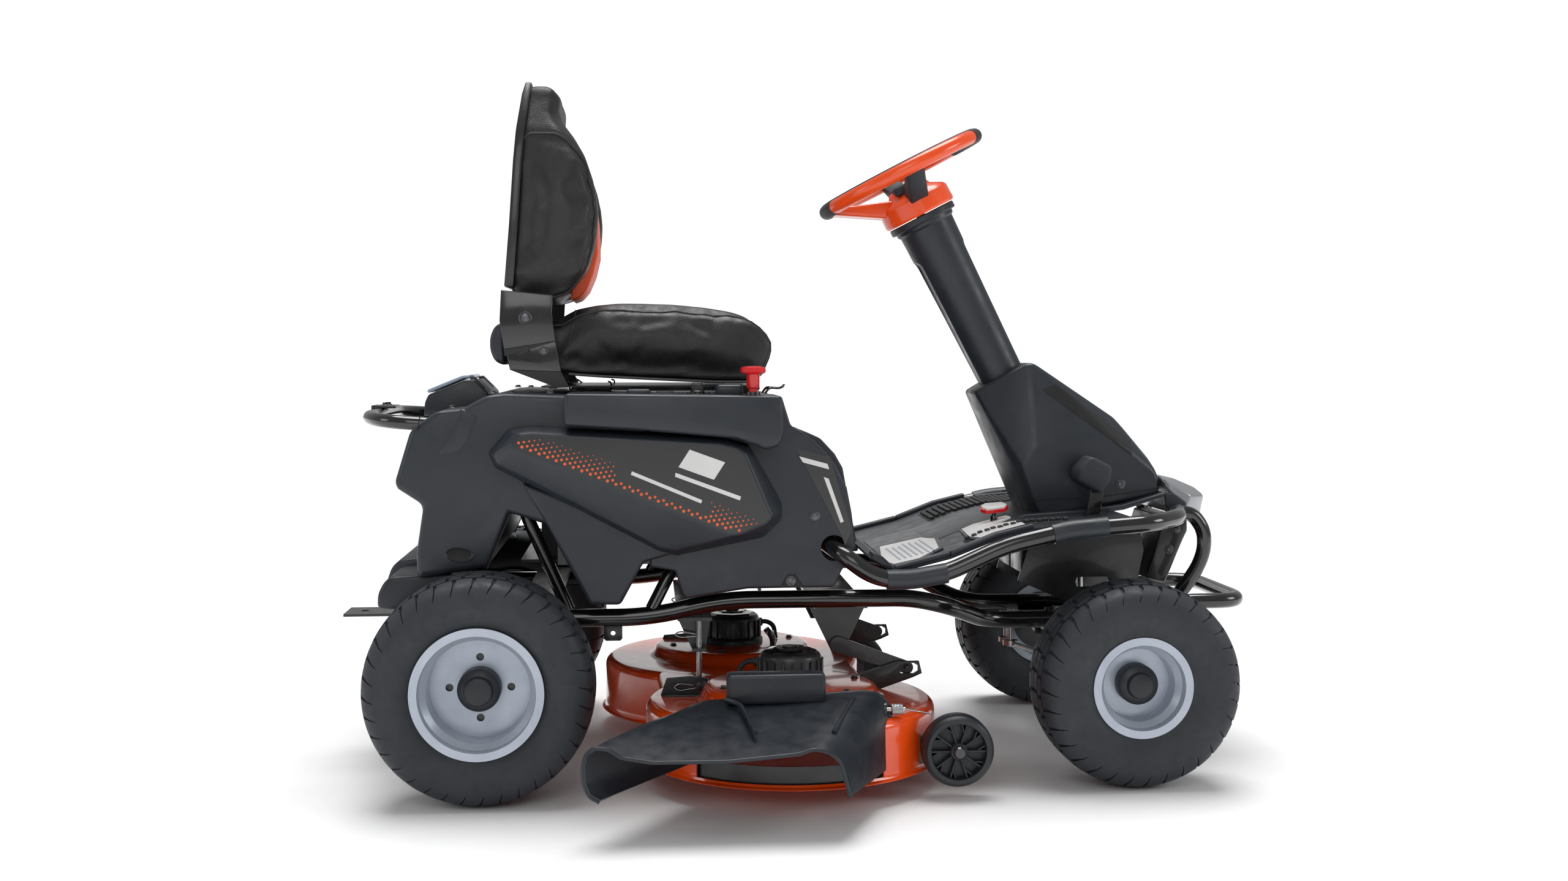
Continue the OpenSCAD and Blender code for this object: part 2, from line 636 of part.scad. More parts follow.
module charge_lid() color("#9fb4c8") place() {
  slab(-92, 92) polygon([[-124, 713.5], [-54, 742], [-46, 742.8], [-46, 748], [-58, 747], [-126, 719]]);
  translate([-43, 0, 746]) along_y(-60, 60, 6);
}

skirt_outline = [
  [304, 404], [345, 396], [358, 353], [366, 345], [477, 362], [636, 363], [649, 392], [676, 435],
  [668, 500], [659, 546], [638, 589], [617, 615], [590, 640], [556, 660], [540, 712], [304, 712]];
module front_skirt() color("#2b333b") place() difference() {
  shell(skirt_outline, -body_y, body_y, 4);
  for (flip = [false, true]) right_side(flip)
    box([300, console_in - skin_gap, 605], [console_x[1] + skin_gap, 420, 760]);
  box([298, -body_y + 4, 404], [320, body_y - 4, 706]);
  box([300, -body_y + 4, 300], [345, body_y - 4, 520]);
  box([344, -body_y + 4, 300], [640, body_y - 4, 400]);
  box([riser_x[1] - 14, -82, 700], [riser_x[1] + 14, 82, 730]);
  translate([635, 0, 435.5]) along_y(-body_y - 10, body_y + 10, foot_rail_d + 16);
}

panel_face = [
  [26, 609], [36, 596], [319, 446], [344, 441], [499, 472], [519, 490], [525, 501], [473, 622],
  [422, 635], [86, 655], [61, 647]];
panel_back = [
  [10, 612], [14, 585], [104, 489], [188, 337], [246, 336], [285, 412], [345, 404], [500, 440],
  [545, 490], [540, 560], [473, 614], [422, 628], [86, 650], [40, 650]];
panel_out = 395;
module side_panels() color("#23282e") place()
  for (flip = [false, true]) right_side(flip) difference() {
    hull() {
      slab(panel_out - 1, panel_out) polygon(panel_face);
      slab(body_y + skin_gap, body_y + 2) polygon(panel_back);
    }
    hull() {
      slab(panel_out - 5, panel_out - 4) polygon(inset(panel_face, 5));
      slab(body_y - 1, body_y + 1) polygon(inset(panel_back, 5));
    }
  }

console_outline = [
  [149, 664], [277, 656], [451, 640], [488, 628], [503, 619], [529, 626], [536, 642], [536, 716],
  [149, 721]];
knob_at = [485, 360];
knob_d = 16;
key_at = [386, 330];
key_d = 8;
module console(flip) color("#2b333b") place() right_side(flip) difference() {
  union() {
    shell(console_outline, console_in, console_out, 3.5);
    box([420, 290, 714], [468, 345, 734]);
    box([258, 290, 716], [302, 345, 726]);
  }
  box([160, console_in - 1, 668], [525, console_in + 10, 706]);
  if (flip) translate([knob_at[0], knob_at[1], 700]) cylinder(d = knob_d + 2 * run_gap, h = 40);
  if (flip) translate([key_at[0], key_at[1], 700]) cylinder(d = key_d + 2 * run_gap, h = 40);
}
module console_left() console(false);
module console_right() console(true);

module blade_switch_knob() color("#e01b1b") place() right_side(true)
  translate([knob_at[0], knob_at[1], 0]) {
    translate([0, 0, 690]) cylinder(d = knob_d, h = 70);
    translate([0, 0, 728]) cylinder(d = 23, h = 28);
    translate([0, 0, 755]) cylinder(d = 40, h = 12);
  }

module ignition_key() color("#1c1e21") place() right_side(true)
  translate([key_at[0], key_at[1], 0]) {
    translate([0, 0, 700]) cylinder(d = key_d, h = 24);
    translate([0, 0, 719]) cylinder(d = 26, h = 5);
    box([-11, -3, 723], [11, 3, 738]);
  }

function plate_line() = [
  [690, 430], [745, 394], [849, 420], [front_x - 253, 453], [front_x - 182, 470],
  [front_x - 36, 478], [front_x + 18, 484]];
plate_half = 345;
pedal_y = 168;
brake_slot = [front_x - 216, 150];
module footplate() color("#22262b") place() difference() {
  slab(-plate_half, plate_half) {
    top = plate_line();
    polygon(concat(top, [for (i = [len(top) - 1 : -1 : 0]) top[i] - [0, 5]]));
  }
  box([front_x - 70, -44, 400], [front_x + 19, 44, 500]);
  box([front_x - 60, pedal_y - 10, 400], [front_x + 6, pedal_y + 10, 500]);
  box([front_x - 60, -pedal_y - 10, 400], [front_x + 6, -pedal_y + 10, 500]);
  box([brake_slot[0] - 14, -brake_slot[1] - 7, 400], [brake_slot[0] + 34, -brake_slot[1] + 7, 500]);
}

cowl_outline = [
  [front_x - 140, 477], [front_x - 36, 481], [front_x + 40, 489], [front_x + 126, 512],
  [front_x + 130, 545], [front_x + 113, 581], [front_x + 43, 663], [front_x - 119, 771],
  [front_x - 133, 774], [front_x - 251, 718], [front_x - 163, 528]];
module cowl_solid(shrink) hull() {
  slab(-82 + shrink, 82 - shrink) polygon(inset(cowl_outline, shrink));
  slab(-122 + shrink, 122 - shrink) polygon(inset([
    [front_x - 140, 477], [front_x - 36, 481], [front_x + 126, 512], [front_x + 120, 560],
    [front_x + 30, 630], [front_x - 130, 600]], shrink));
}
module cowl() color("#2b333b") {
  difference() {
    place() difference() {
      cowl_solid(0);
      cowl_solid(4);
      box([front_x - 134, -114, 470], [front_x + 110, 114, 500]);
    }
    on_column() translate([0, 0, column_foot - 60]) cylinder(d = column_d + 1, h = 300);
  }
}

// The lamp's curved front is a round wall seen from above
module lamp_round() translate([front_x + 250 - 278, 0, 300]) cylinder(r = 278, h = 300);
module headlight_lens() color("#b9c0c8") place() intersection() {
  slab(-148, 148) polygon([
    [front_x + 158, 470], [front_x + 243, 466], [front_x + 250, 490], [front_x + 243, 507],
    [front_x + 219, 523], [front_x + 168, 541], [front_x + 134, 548], [front_x + 134, 534],
    [front_x + 168, 500]]);
  lamp_round();
}
module front_grille() color("#1a1c1f") place() {
  intersection() {
    slab(-148, 148) polygon([
      [front_x + 134, 515], [front_x + 134, 500], [front_x + 156, 462], [front_x + 206, 462],
      [front_x + 206, 465], [front_x + 157, 469], [front_x + 164, 500], [front_x + 140, 520]]);
    lamp_round();
  }
  shell([[front_x + 105, 342], [front_x + 143, 332], [front_x + 179, 419], [front_x + 188, 437],
         [front_x + 187, 462.5], [front_x + 159, 462.5]], -105, 105, 3);
}

// ---- controls ----

pedal_pivot = [front_x - 32, 452];
module pedal(flip) right_side(flip) {
  slab(pedal_y - 5, pedal_y + 5)
    polygon([[front_x - 42, 446], [front_x - 20, 446], [front_x - 12, 490], [front_x - 6, 530],
             [front_x - 26, 534], [front_x - 34, 488]]);
  translate([pedal_pivot[0], 0, pedal_pivot[1]]) along_y(pedal_y - 14, pedal_y + 14, 24);
}
module drive_pedal() color("#1c2126") place() {
  pedal(true);
  right_side(true) slab(pedal_y - 32, pedal_y + 32)
    polygon([[front_x - 63, 543], [front_x - 18, 519], [front_x + 4, 545], [front_x + 7, 573],
             [front_x - 36, 594], [front_x - 62, 565]]);
}
module brake_pedal() color("#1c2126") place() {
  pedal(false);
  slab(pedal_y - 30, pedal_y + 30)
    polygon([[front_x - 52, 540], [front_x - 14, 519], [front_x - 2, 531], [front_x - 40, 556]]);
}

module parking_brake_lever() color("#d81f1f") place()
  translate([brake_slot[0], -brake_slot[1], 0]) {
    translate([0, 0, 400]) cylinder(d = 9, h = 86);
    hull() {
      translate([-14, 0, 485]) cylinder(d = 20, h = 9);
      translate([14, 0, 489]) cylinder(d = 20, h = 9);
    }
    translate([0, 0, 400]) along_y(-9, 9, 18);
  }

// ---- seat ----

module seat_slide_base() color("#1a1c1f") place() {
  for (flip = [false, true]) right_side(flip) box([150, 92, 721], [500, 120, 727]);
  box([330, -120, 721], [380, 120, 727]);
  box([470, -120, 721], [500, 120, 727]);
  box([498, -58, 721], [512, 58, 727]);
  translate([seat_pivot[0], 0, seat_pivot[1]]) along_y(-60, 60, 12);
}

module seat_pan() color("#1a1c1f") place() {
  box([100, -190, 728], [500, 190, 731]);
  for (flip = [false, true]) right_side(flip) {
    slab(229, 234) polygon([[34, 798], [124, 825], [137, 756], [150, 731], [128, 728], [43, 761]]);
    slab(234.5, 239) polygon([[25, 851], [28, 908], [122, 899], [120, 865], [127, 814], [34, 786]]);
    box([100, 180, 728], [150, 234, 731]);
    translate([72, 0, 857]) along_y(226, 246, 20);
    translate([72, 0, 800]) along_y(229, 243, 14);
  }
}

cushion_outline = [
  [140, 752], [214, 747], [321, 741], [424, 736], [505, 735], [524, 750], [538, 775], [545, 805],
  [541, 820], [524, 842], [500, 858], [457, 869], [403, 878], [349, 883], [295, 885], [241, 885],
  [199, 880], [161, 871], [123, 849], [60, 846], [27, 838], [19, 820], [22, 790], [41, 768], [100, 756]];
module seat_cushion() color("#1e1f21") place() slab(-seat_w / 2, seat_w / 2) polygon(cushion_outline);

back_outline = [
  [42, 888], [119, 888], [153, 899], [167, 911], [183, 938], [195, 980], [202, 1023], [204, 1055],
  [201, 1087], [194, 1124], [179, 1169], [158, 1203], [134, 1238], [134, 1309], [128, 1318],
  [67, 1318], [61, 1281], [52, 1202], [40, 1033], [31, 910]];
module backrest() color("#1e1f21") place() intersection() {
  slab(-back_w / 2, back_w / 2) polygon(back_outline);
  slabx(0, 260) polygon([
    [-back_w / 2 + 20, 880], [back_w / 2 - 20, 880], [back_w / 2, 930], [back_w / 2, 1150],
    [back_w / 2 - 22, 1220], [back_w / 2 - 70, 1260], [back_w / 2 - 85, 1319],
    [-back_w / 2 + 85, 1319], [-back_w / 2 + 70, 1260], [-back_w / 2 + 22, 1220],
    [-back_w / 2, 1150], [-back_w / 2, 930]]);
}

// ---- mower deck ----

module deck_plan(grow) {
  translate(right_blade) circle(r = lobe_r + grow);
  translate(left_blade) circle(r = lobe_r + grow);
  polygon([left_blade + [lobe_r * 0.9, 0], left_blade - [lobe_r * 0.62, 0],
           right_blade - [lobe_r * 0.9, 0], right_blade + [lobe_r * 0.62, 0]]);
}
// Wing of a gauge wheel's bracket, with its stub axle
module gauge_arm(at) {
  side = at[1] > 0 ? 1 : -1;
  lobe = at[1] > 0 ? left_blade : right_blade;
  y = at[1] - side * 28;
  edge = lobe[0] + sqrt(pow(lobe_r, 2) - pow(y - lobe[1], 2));
  box([edge - 10, min(y, y - side * 6), deck_gap + 12], [at[0] + 14, max(y, y - side * 6), deck_gap + 64]);
  translate([at[0], 0, gauge_wheel_d / 2 + gauge_rise])
    along_y(min(y, y + side * 56), max(y, y + side * 56), gauge_pin_d);
}

lift_pin = [790, 190];
lift_y = 204;
module deck_brackets() for (flip = [false, true]) right_side(flip) {
  difference() {
    slab(lift_y + 9, lift_y + 15)
      polygon([[690, deck_top - 1], [735, deck_top - 1], [800, 172], [818, 180], [812, 204], [770, 204], [700, 182]]);
    slab(lift_y, lift_y + 20) {
      translate(lift_pin) circle(d = lift_pin_d + 3);
      translate(lift_pin + [9, 0]) circle(d = lift_pin_d + 3);
      translate(lift_pin - [0, lift_pin_d / 2 + 1.5]) square([9, lift_pin_d + 3]);
    }
  }
  slab(rod_y + 7, rod_y + 13)
    polygon([[318, deck_top - 1], [409, deck_top - 1], [406, 182], [374, 186], [330, 183]]);
  translate([rod_x, rod_y, deck_top - 1]) cylinder(d = rod_d, h = 300 - deck_top);
}

module deck_shell() color("#ff5a12") place() {
  difference() {
    union() {
      translate([0, 0, deck_gap]) linear_extrude(deck_h) deck_plan(0);
      for (c = [left_blade, right_blade]) translate([c[0], c[1], deck_top - 1]) cylinder(r = step_r, h = 25);
      for (c = [left_blade, right_blade]) translate([c[0], c[1], motor_seat]) cylinder(d = blade_motor_d, h = 60);
      deck_brackets();
      gauge_arm(gauge_left);
      gauge_arm(gauge_right);
      for (x = [392, 702]) box([x, chute_hinge[0] - 8, deck_top - 1], [x + 6, chute_hinge[0] + 8, chute_hinge[1] + 7]);
      translate([0, chute_hinge[0], chute_hinge[1]]) along_x(392, 708, chute_pin_d);
    }
    translate([0, 0, deck_gap - 1]) linear_extrude(deck_h - deck_wall + 1) deck_plan(-deck_wall);
    for (c = [left_blade, right_blade]) translate([c[0], c[1], 0]) {
      translate([0, 0, deck_top - 10]) cylinder(r = step_r - deck_wall, h = 31);
      translate([0, 0, deck_top]) cylinder(d = 25 + 2 * run_gap, h = 75);
    }
    box([right_blade[0] - 190, -600, deck_gap - 1], [right_blade[0] + 150, right_blade[1] - 190, deck_top - 14]);
  }
}

module blade(c) color("#6b7075") place() translate([c[0], c[1], 0]) {
  translate([0, 0, blade_z]) difference() {
    intersection() {
      cylinder(d = blade_l, h = 4);
      box([-blade_l, -28, 0], [blade_l, 28, 4]);
    }
    for (s = [-1, 1]) translate([s * blade_l / 2, s * 34, -1]) rotate(s * 4)
      box([-90, -20, 0], [90, 14, 6]);
  }
  translate([0, 0, blade_z + 3]) cylinder(d = 25, h = motor_seat + 46 - blade_z - 3);
  translate([0, 0, blade_z + 4]) cylinder(d = 60, h = 14);
  translate([0, 0, blade_z - 10]) cylinder(d = 28, h = 11);
}
module blade_left() blade(left_blade);
module blade_right() blade(right_blade);

chute_wall = 5;
module discharge_chute() color("#23292f") place() difference() {
  union() {
    difference() {
      hull() {
        box([364, chute_hinge[0] + 7, 74], [722, chute_hinge[0] + 11, 194]);
        box([192, -chute_reach, 76], [620, -chute_reach + 4, 150]);
      }
      hull() {
        box([364 + chute_wall, chute_hinge[0] + 6, 60], [722 - chute_wall, chute_hinge[0] + 12, 194 - chute_wall]);
        box([192 + chute_wall, -chute_reach - 2, 60], [620 - chute_wall, -chute_reach + 4, 150 - chute_wall]);
      }
      linear_extrude(deck_top + 6) deck_plan(2);
      translate([right_blade[0], right_blade[1], 0]) cylinder(r = step_r + 2, h = motor_seat + 4);
    }
    translate([0, chute_hinge[0], chute_hinge[1]]) along_x(400, 700, chute_pin_d + 7);
    box([420, chute_hinge[0] + 2, chute_hinge[1] + 5], [680, chute_hinge[0] + 6, 192]);
    box([431, chute_hinge[0] - 36, 181], [602, chute_hinge[0] + 6, 236]);
  }
  translate([0, chute_hinge[0], chute_hinge[1]]) along_x(380, 720, chute_pin_d + 2 * run_gap);
}

module gauge_wheel(at) color("#1d2226") place()
  translate([at[0], at[1], gauge_wheel_d / 2 + gauge_rise]) rotate([90, 0, 0]) difference() {
    rotate_extrude() polygon([
      [0, -20], [16, -20], [16, -8], [48, -8], [50, -22], [gauge_wheel_d / 2 - 5, -22], [gauge_wheel_d / 2, -16],
      [gauge_wheel_d / 2, 16], [gauge_wheel_d / 2 - 5, 22], [50, 22], [48, 8], [16, 8], [16, 20], [0, 20]]);
    translate([0, 0, -30]) cylinder(d = gauge_pin_d + 2 * run_gap, h = 60);
  }
module gauge_wheel_left() gauge_wheel(gauge_left);
module gauge_wheel_right() gauge_wheel(gauge_right);

module lift_links() color("#1a1c1f") place() {
  translate([link_pivot[0], 0, link_pivot[1]]) along_y(-lift_y - 7, lift_y + 7, lift_pin_d);
  for (flip = [false, true]) right_side(flip) {
    hull() {
      translate([link_pivot[0], 0, link_pivot[1]]) along_y(lift_y, lift_y + 7, 30);
      translate([lift_pin[0], 0, lift_pin[1]]) along_y(lift_y, lift_y + 7, 24);
    }
    translate([lift_pin[0], 0, lift_pin[1]]) along_y(lift_y, lift_y + 20, lift_pin_d);
  }
}

lower_rail_left();
lower_rail_right();
foot_rail_left();
foot_rail_right();
front_guard();
rear_bumper();
rear_cradle();
hitch_plate();
body_struts();
battery_tray();
seat_support();
axle_carrier();
deck_hangers();
transaxle();
battery_pack();
rear_body();
front_skirt();
side_panels();
console_left();
console_right();
charge_lid();
footplate();
cowl();
column_cover();
headlight_lens();
front_grille();
rear_tyre_left();
rear_tyre_right();
rear_rim_left();
rear_rim_right();
rear_shaft_left();
rear_shaft_right();
front_tyre_left();
front_tyre_right();
front_rim_left();
front_rim_right();
front_axle_beam();
knuckle_left();
knuckle_right();
tie_rod_left();
tie_rod_right();
steering_sector();
pinion_shaft();
steering_wheel();
seat_slide_base();
seat_pan();
seat_cushion();
backrest();
blade_switch_knob();
ignition_key();
parking_brake_lever();
drive_pedal();
brake_pedal();
deck_shell();
blade_left();
blade_right();
discharge_chute();
gauge_wheel_left();
gauge_wheel_right();
lift_links();
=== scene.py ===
"""Looks of a battery riding mower: finishes, covers, tyres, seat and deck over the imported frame.

Pieces are drawn in millimetres from the rear axle: x forward, y left, z up from the ground.
"""

import json
import logging
import math
from dataclasses import dataclass
from enum import Enum
from typing import Callable, Iterable, Sequence

import bmesh
import bpy
from mathutils import Matrix, Vector
from mathutils.bvhtree import BVHTree


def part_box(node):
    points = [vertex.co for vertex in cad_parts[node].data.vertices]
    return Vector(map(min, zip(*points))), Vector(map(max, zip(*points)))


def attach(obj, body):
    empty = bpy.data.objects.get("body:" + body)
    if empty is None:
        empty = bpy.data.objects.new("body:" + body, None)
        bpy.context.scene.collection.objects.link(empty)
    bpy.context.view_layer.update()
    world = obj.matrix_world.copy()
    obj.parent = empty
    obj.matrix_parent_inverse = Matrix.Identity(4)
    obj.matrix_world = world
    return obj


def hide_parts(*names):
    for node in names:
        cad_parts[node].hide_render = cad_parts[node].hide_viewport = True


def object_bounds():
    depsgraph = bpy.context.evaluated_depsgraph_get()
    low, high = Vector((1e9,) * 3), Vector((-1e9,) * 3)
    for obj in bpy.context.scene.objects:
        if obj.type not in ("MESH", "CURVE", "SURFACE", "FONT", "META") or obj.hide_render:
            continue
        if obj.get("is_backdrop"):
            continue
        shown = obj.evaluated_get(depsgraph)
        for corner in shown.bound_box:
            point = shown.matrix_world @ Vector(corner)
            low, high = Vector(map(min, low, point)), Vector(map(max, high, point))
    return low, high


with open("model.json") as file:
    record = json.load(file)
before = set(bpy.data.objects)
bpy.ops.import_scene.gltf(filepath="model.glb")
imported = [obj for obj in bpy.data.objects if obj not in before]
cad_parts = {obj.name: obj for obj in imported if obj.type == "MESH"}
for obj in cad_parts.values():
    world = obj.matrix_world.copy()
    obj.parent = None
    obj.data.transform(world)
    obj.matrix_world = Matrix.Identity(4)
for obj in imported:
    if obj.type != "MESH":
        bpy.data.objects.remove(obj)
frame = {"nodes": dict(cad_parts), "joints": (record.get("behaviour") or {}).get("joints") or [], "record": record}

LOG = logging.getLogger("mower")
SIDES = ((-1, "right"), (1, "left"))
Flat = tuple[float, float]
Point = tuple[float, float, float]
Rgb = tuple[float, float, float]


@dataclass(frozen=True)
class Datum:
    """Where the rear axle's middle stands, in metres of the frame."""

    x: float
    y: float

    @classmethod
    def measured(cls) -> "Datum":
        """Reads the rear axle's place from the rear tyres."""
        left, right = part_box("rear_tyre_left"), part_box("rear_tyre_right")
        return cls((left[0].x + left[1].x) / 2, (left[1].y + right[0].y) / 2)

    def matrix(self) -> Matrix:
        """Millimetres from the rear axle to metres of the frame."""
        return Matrix.Translation((self.x, self.y, 0)) @ Matrix.Scale(0.001, 4)

    def low(self, node: str) -> Vector:
        """Lowest corner of a CAD node, in millimetres from the rear axle."""
        return self.matrix().inverted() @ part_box(node)[0]

    def high(self, node: str) -> Vector:
        """Highest corner of a CAD node, in millimetres from the rear axle."""
        return self.matrix().inverted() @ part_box(node)[1]


DATUM = Datum.measured()
FRONT_X = (DATUM.low("front_tyre_left").x + DATUM.high("front_tyre_left").x) / 2


# ---- finishes ----


class Grain(Enum):
    """Fine surface relief of a finish."""

    FINE = "fine"
    PEBBLE = "pebble"
    BRUSHED = "brushed"
    PEEL = "peel"


@dataclass(frozen=True)
class Finish:
    """One paint, moulding, rubber or metal, with its relief in metres."""

    name: str
    slot: str
    colour: Rgb
    tone: Rgb
    rough: float
    spread: float = 0.08
    metallic: float = 0.0
    coat: float = 0.0
    grain: Grain = Grain.FINE
    pitch: float = 0.0009
    depth: float = 0.00006
    patch: float = 0.11

    def material(self) -> bpy.types.Material:
        """Makes the finish's node material once.

        Returns:
            The material, shared by every piece that has this finish.
        """
        found = bpy.data.materials.get(self.name)
        if found:
            return found
        made = bpy.data.materials.new(self.name)
        made.use_nodes = True
        tree = made.node_tree
        shader = tree.nodes["Principled BSDF"]
        shader.inputs["Metallic"].default_value = self.metallic
        shader.inputs["Coat Weight"].default_value = self.coat
        shader.inputs["Coat Roughness"].default_value = 0.08
        where = tree.nodes.new("ShaderNodeTexCoord").outputs["Object"]
        patches = self._noise(tree, where, 1 / self.patch, 4)
        self._colour(tree, shader, patches)
        self._roughness(tree, shader, self._noise(tree, where, 4 / self.patch, 5))
        self._relief(tree, shader, where)
        return made

    def _noise(self, tree: bpy.types.NodeTree, where: bpy.types.NodeSocket, scale: float,
               detail: float) -> bpy.types.NodeSocket:
        """Adds a noise texture.

        Args:
            tree: The material's node tree.
            where: Socket with the coordinates.
            scale: Features per metre.
            detail: Octaves of the noise.

        Returns:
            The noise value's socket.
        """
        noise = tree.nodes.new("ShaderNodeTexNoise")
        noise.inputs["Scale"].default_value = scale
        noise.inputs["Detail"].default_value = detail
        tree.links.new(where, noise.inputs["Vector"])
        return noise.outputs[0]

    def _colour(self, tree: bpy.types.NodeTree, shader: bpy.types.Node,
                patches: bpy.types.NodeSocket) -> None:
        """Blends the two colours over the surface by the patches."""
        mix = tree.nodes.new("ShaderNodeMix")
        mix.data_type = "RGBA"
        mix.inputs["A"].default_value = (*self.colour, 1)
        mix.inputs["B"].default_value = (*self.tone, 1)
        spread = tree.nodes.new("ShaderNodeMapRange")
        spread.inputs["From Min"].default_value = 0.35
        spread.inputs["From Max"].default_value = 0.7
        tree.links.new(patches, spread.inputs["Value"])
        tree.links.new(spread.outputs["Result"], mix.inputs["Factor"])
        tree.links.new(mix.outputs["Result"], shader.inputs["Base Color"])

    def _roughness(self, tree: bpy.types.NodeTree, shader: bpy.types.Node,
                   patches: bpy.types.NodeSocket) -> None:
        """Lets the gloss wander by the finish's spread."""
        spread = tree.nodes.new("ShaderNodeMapRange")
        spread.inputs["From Min"].default_value = 0.3
        spread.inputs["From Max"].default_value = 0.7
        spread.inputs["To Min"].default_value = max(0.02, self.rough - self.spread)
        spread.inputs["To Max"].default_value = min(1.0, self.rough + self.spread)
        tree.links.new(patches, spread.inputs["Value"])
        tree.links.new(spread.outputs["Result"], shader.inputs["Roughness"])

    def _relief(self, tree: bpy.types.NodeTree, shader: bpy.types.Node,
                where: bpy.types.NodeSocket) -> None:
        """Adds the finish's grain as a bump."""
        stretch = tree.nodes.new("ShaderNodeMapping")
        if self.grain is Grain.BRUSHED:
            stretch.inputs["Scale"].default_value = (1.0, 0.06, 1.0)
        tree.links.new(where, stretch.inputs["Vector"])
        scale = 1 / (self.pitch * (12 if self.grain is Grain.PEEL else 1))
        if self.grain is Grain.PEBBLE:
            pattern = tree.nodes.new("ShaderNodeTexVoronoi")
            pattern.feature = "SMOOTH_F1"
            pattern.inputs["Scale"].default_value = scale
            tree.links.new(stretch.outputs["Vector"], pattern.inputs["Vector"])
            height = pattern.outputs["Distance"]
        else:
            height = self._noise(tree, stretch.outputs["Vector"], scale, 2)
        bump = tree.nodes.new("ShaderNodeBump")
        bump.inputs["Strength"].default_value = 1.0
        bump.inputs["Distance"].default_value = self.depth
        tree.links.new(height, bump.inputs["Height"])
        tree.links.new(bump.outputs["Normal"], shader.inputs["Normal"])


BODY = Finish("satin_slate_moulding", "body", (0.017, 0.021, 0.028), (0.022, 0.027, 0.035), 0.4,
              depth=0.00007)
TUBE = Finish("gloss_black_tube", "tube", (0.006, 0.006, 0.0065), (0.009, 0.009, 0.0095), 0.16, 0.05,
              coat=0.7, grain=Grain.PEEL, depth=0.00005)
PLATE = Finish("black_plate_paint", "plate", (0.009, 0.0095, 0.01), (0.013, 0.0135, 0.0145), 0.32,
               0.06, coat=0.3)
FILM = Finish("gloss_dark_film", "panel", (0.011, 0.0115, 0.012), (0.014, 0.0145, 0.015), 0.2, 0.04,
              coat=0.5, depth=0.00001)
DOTS = Finish("orange_dot_ink", "orange", (0.9, 0.13, 0.03), (0.8, 0.11, 0.025), 0.3, 0.05)
ORANGE = Finish("gloss_orange_paint", "orange", (0.93, 0.085, 0.006), (0.82, 0.07, 0.005), 0.2, 0.06,
                coat=0.8, grain=Grain.PEEL, depth=0.00006)
WHEEL_ORANGE = Finish("orange_moulding", "wheel_orange", (0.93, 0.085, 0.006), (0.85, 0.075, 0.006),
                      0.26, 0.06, coat=0.4)
TYRE = Finish("tyre_rubber", "tyre", (0.018, 0.022, 0.028), (0.025, 0.029, 0.036), 0.58, 0.1,
              pitch=0.0014, depth=0.0001, patch=0.06)
RIM = Finish("silver_rim_paint", "rim", (0.5, 0.55, 0.63), (0.43, 0.48, 0.56), 0.34, 0.07,
             metallic=0.35, coat=0.15, grain=Grain.PEEL)
STEEL = Finish("turned_steel", "steel", (0.5, 0.5, 0.51), (0.38, 0.38, 0.39), 0.3, 0.1, metallic=1.0,
               grain=Grain.BRUSHED, pitch=0.0005)
BOLT = Finish("zinc_bolt", "steel", (0.09, 0.09, 0.1), (0.16, 0.16, 0.17), 0.35, 0.1, metallic=0.9,
              pitch=0.0006, patch=0.01)
CASTING = Finish("painted_casting", "motor", (0.02, 0.021, 0.024), (0.035, 0.036, 0.04), 0.42, 0.1,
                 coat=0.2, pitch=0.0022, depth=0.0002)
GLOSS_CAP = Finish("gloss_motor_cover", "motor", (0.012, 0.012, 0.013), (0.018, 0.018, 0.02), 0.14,
                   0.05, coat=0.8, grain=Grain.PEEL)
CASE = Finish("battery_case", "battery", (0.03, 0.032, 0.036), (0.04, 0.042, 0.047), 0.5)
VINYL = Finish("grained_vinyl", "vinyl", (0.01, 0.01, 0.0103), (0.016, 0.016, 0.0163), 0.46, 0.08,
               grain=Grain.PEBBLE, pitch=0.0019, depth=0.00035, patch=0.05)
PIPING = Finish("grey_piping", "vinyl", (0.07, 0.072, 0.076), (0.09, 0.092, 0.096), 0.5,
                grain=Grain.PEBBLE, pitch=0.0012, depth=0.0001, patch=0.03)
INSERT = Finish("orange_vinyl", "orange", (0.85, 0.085, 0.008), (0.75, 0.075, 0.008), 0.42, 0.06,
                grain=Grain.PEBBLE, pitch=0.0019, depth=0.0002, patch=0.05)
RED = Finish("red_moulding", "red", (0.72, 0.008, 0.01), (0.6, 0.006, 0.008), 0.2, 0.05, coat=0.5)
PEDAL = Finish("pedal_rubber", "pedal", (0.018, 0.023, 0.03), (0.026, 0.031, 0.038), 0.6,
               pitch=0.0012, depth=0.0001)
MAT = Finish("tread_mat_rubber", "pedal", (0.02, 0.021, 0.023), (0.03, 0.031, 0.033), 0.66,
             pitch=0.0016, depth=0.00012)
CHUTE = Finish("chute_moulding", "chute", (0.013, 0.017, 0.023), (0.018, 0.022, 0.029), 0.38,
               depth=0.00006)
LENS = Finish("headlight_lens", "lens", (0.36, 0.37, 0.39), (0.3, 0.31, 0.33), 0.28, 0.05, coat=0.5,
              metallic=0.5, depth=0.00002)
LID = Finish("tinted_lid", "lid", (0.36, 0.44, 0.55), (0.42, 0.5, 0.6), 0.18, 0.05, coat=0.5)
GAUGE = Finish("hard_wheel_moulding", "gauge", (0.012, 0.015, 0.019), (0.018, 0.021, 0.026), 0.42)
LABEL = Finish("white_label_film", "body", (0.78, 0.78, 0.77), (0.7, 0.7, 0.69), 0.35, 0.05,
               depth=0.00002)
GREY_TOP = Finish("grey_footwell_moulding", "body", (0.06, 0.066, 0.073), (0.075, 0.081, 0.088), 0.4)
# Near-black for the dark panel joints, and also painted shade: flat sheets and bars standing for the shade in
# recesses, finger hollows and grille slots.
JOINT_BLACK_AND_PAINTED_SHADE = Finish("black_joints_and_painted_shade", "plate", (0.004, 0.004, 0.004), (0.008, 0.008, 0.008), 0.6)

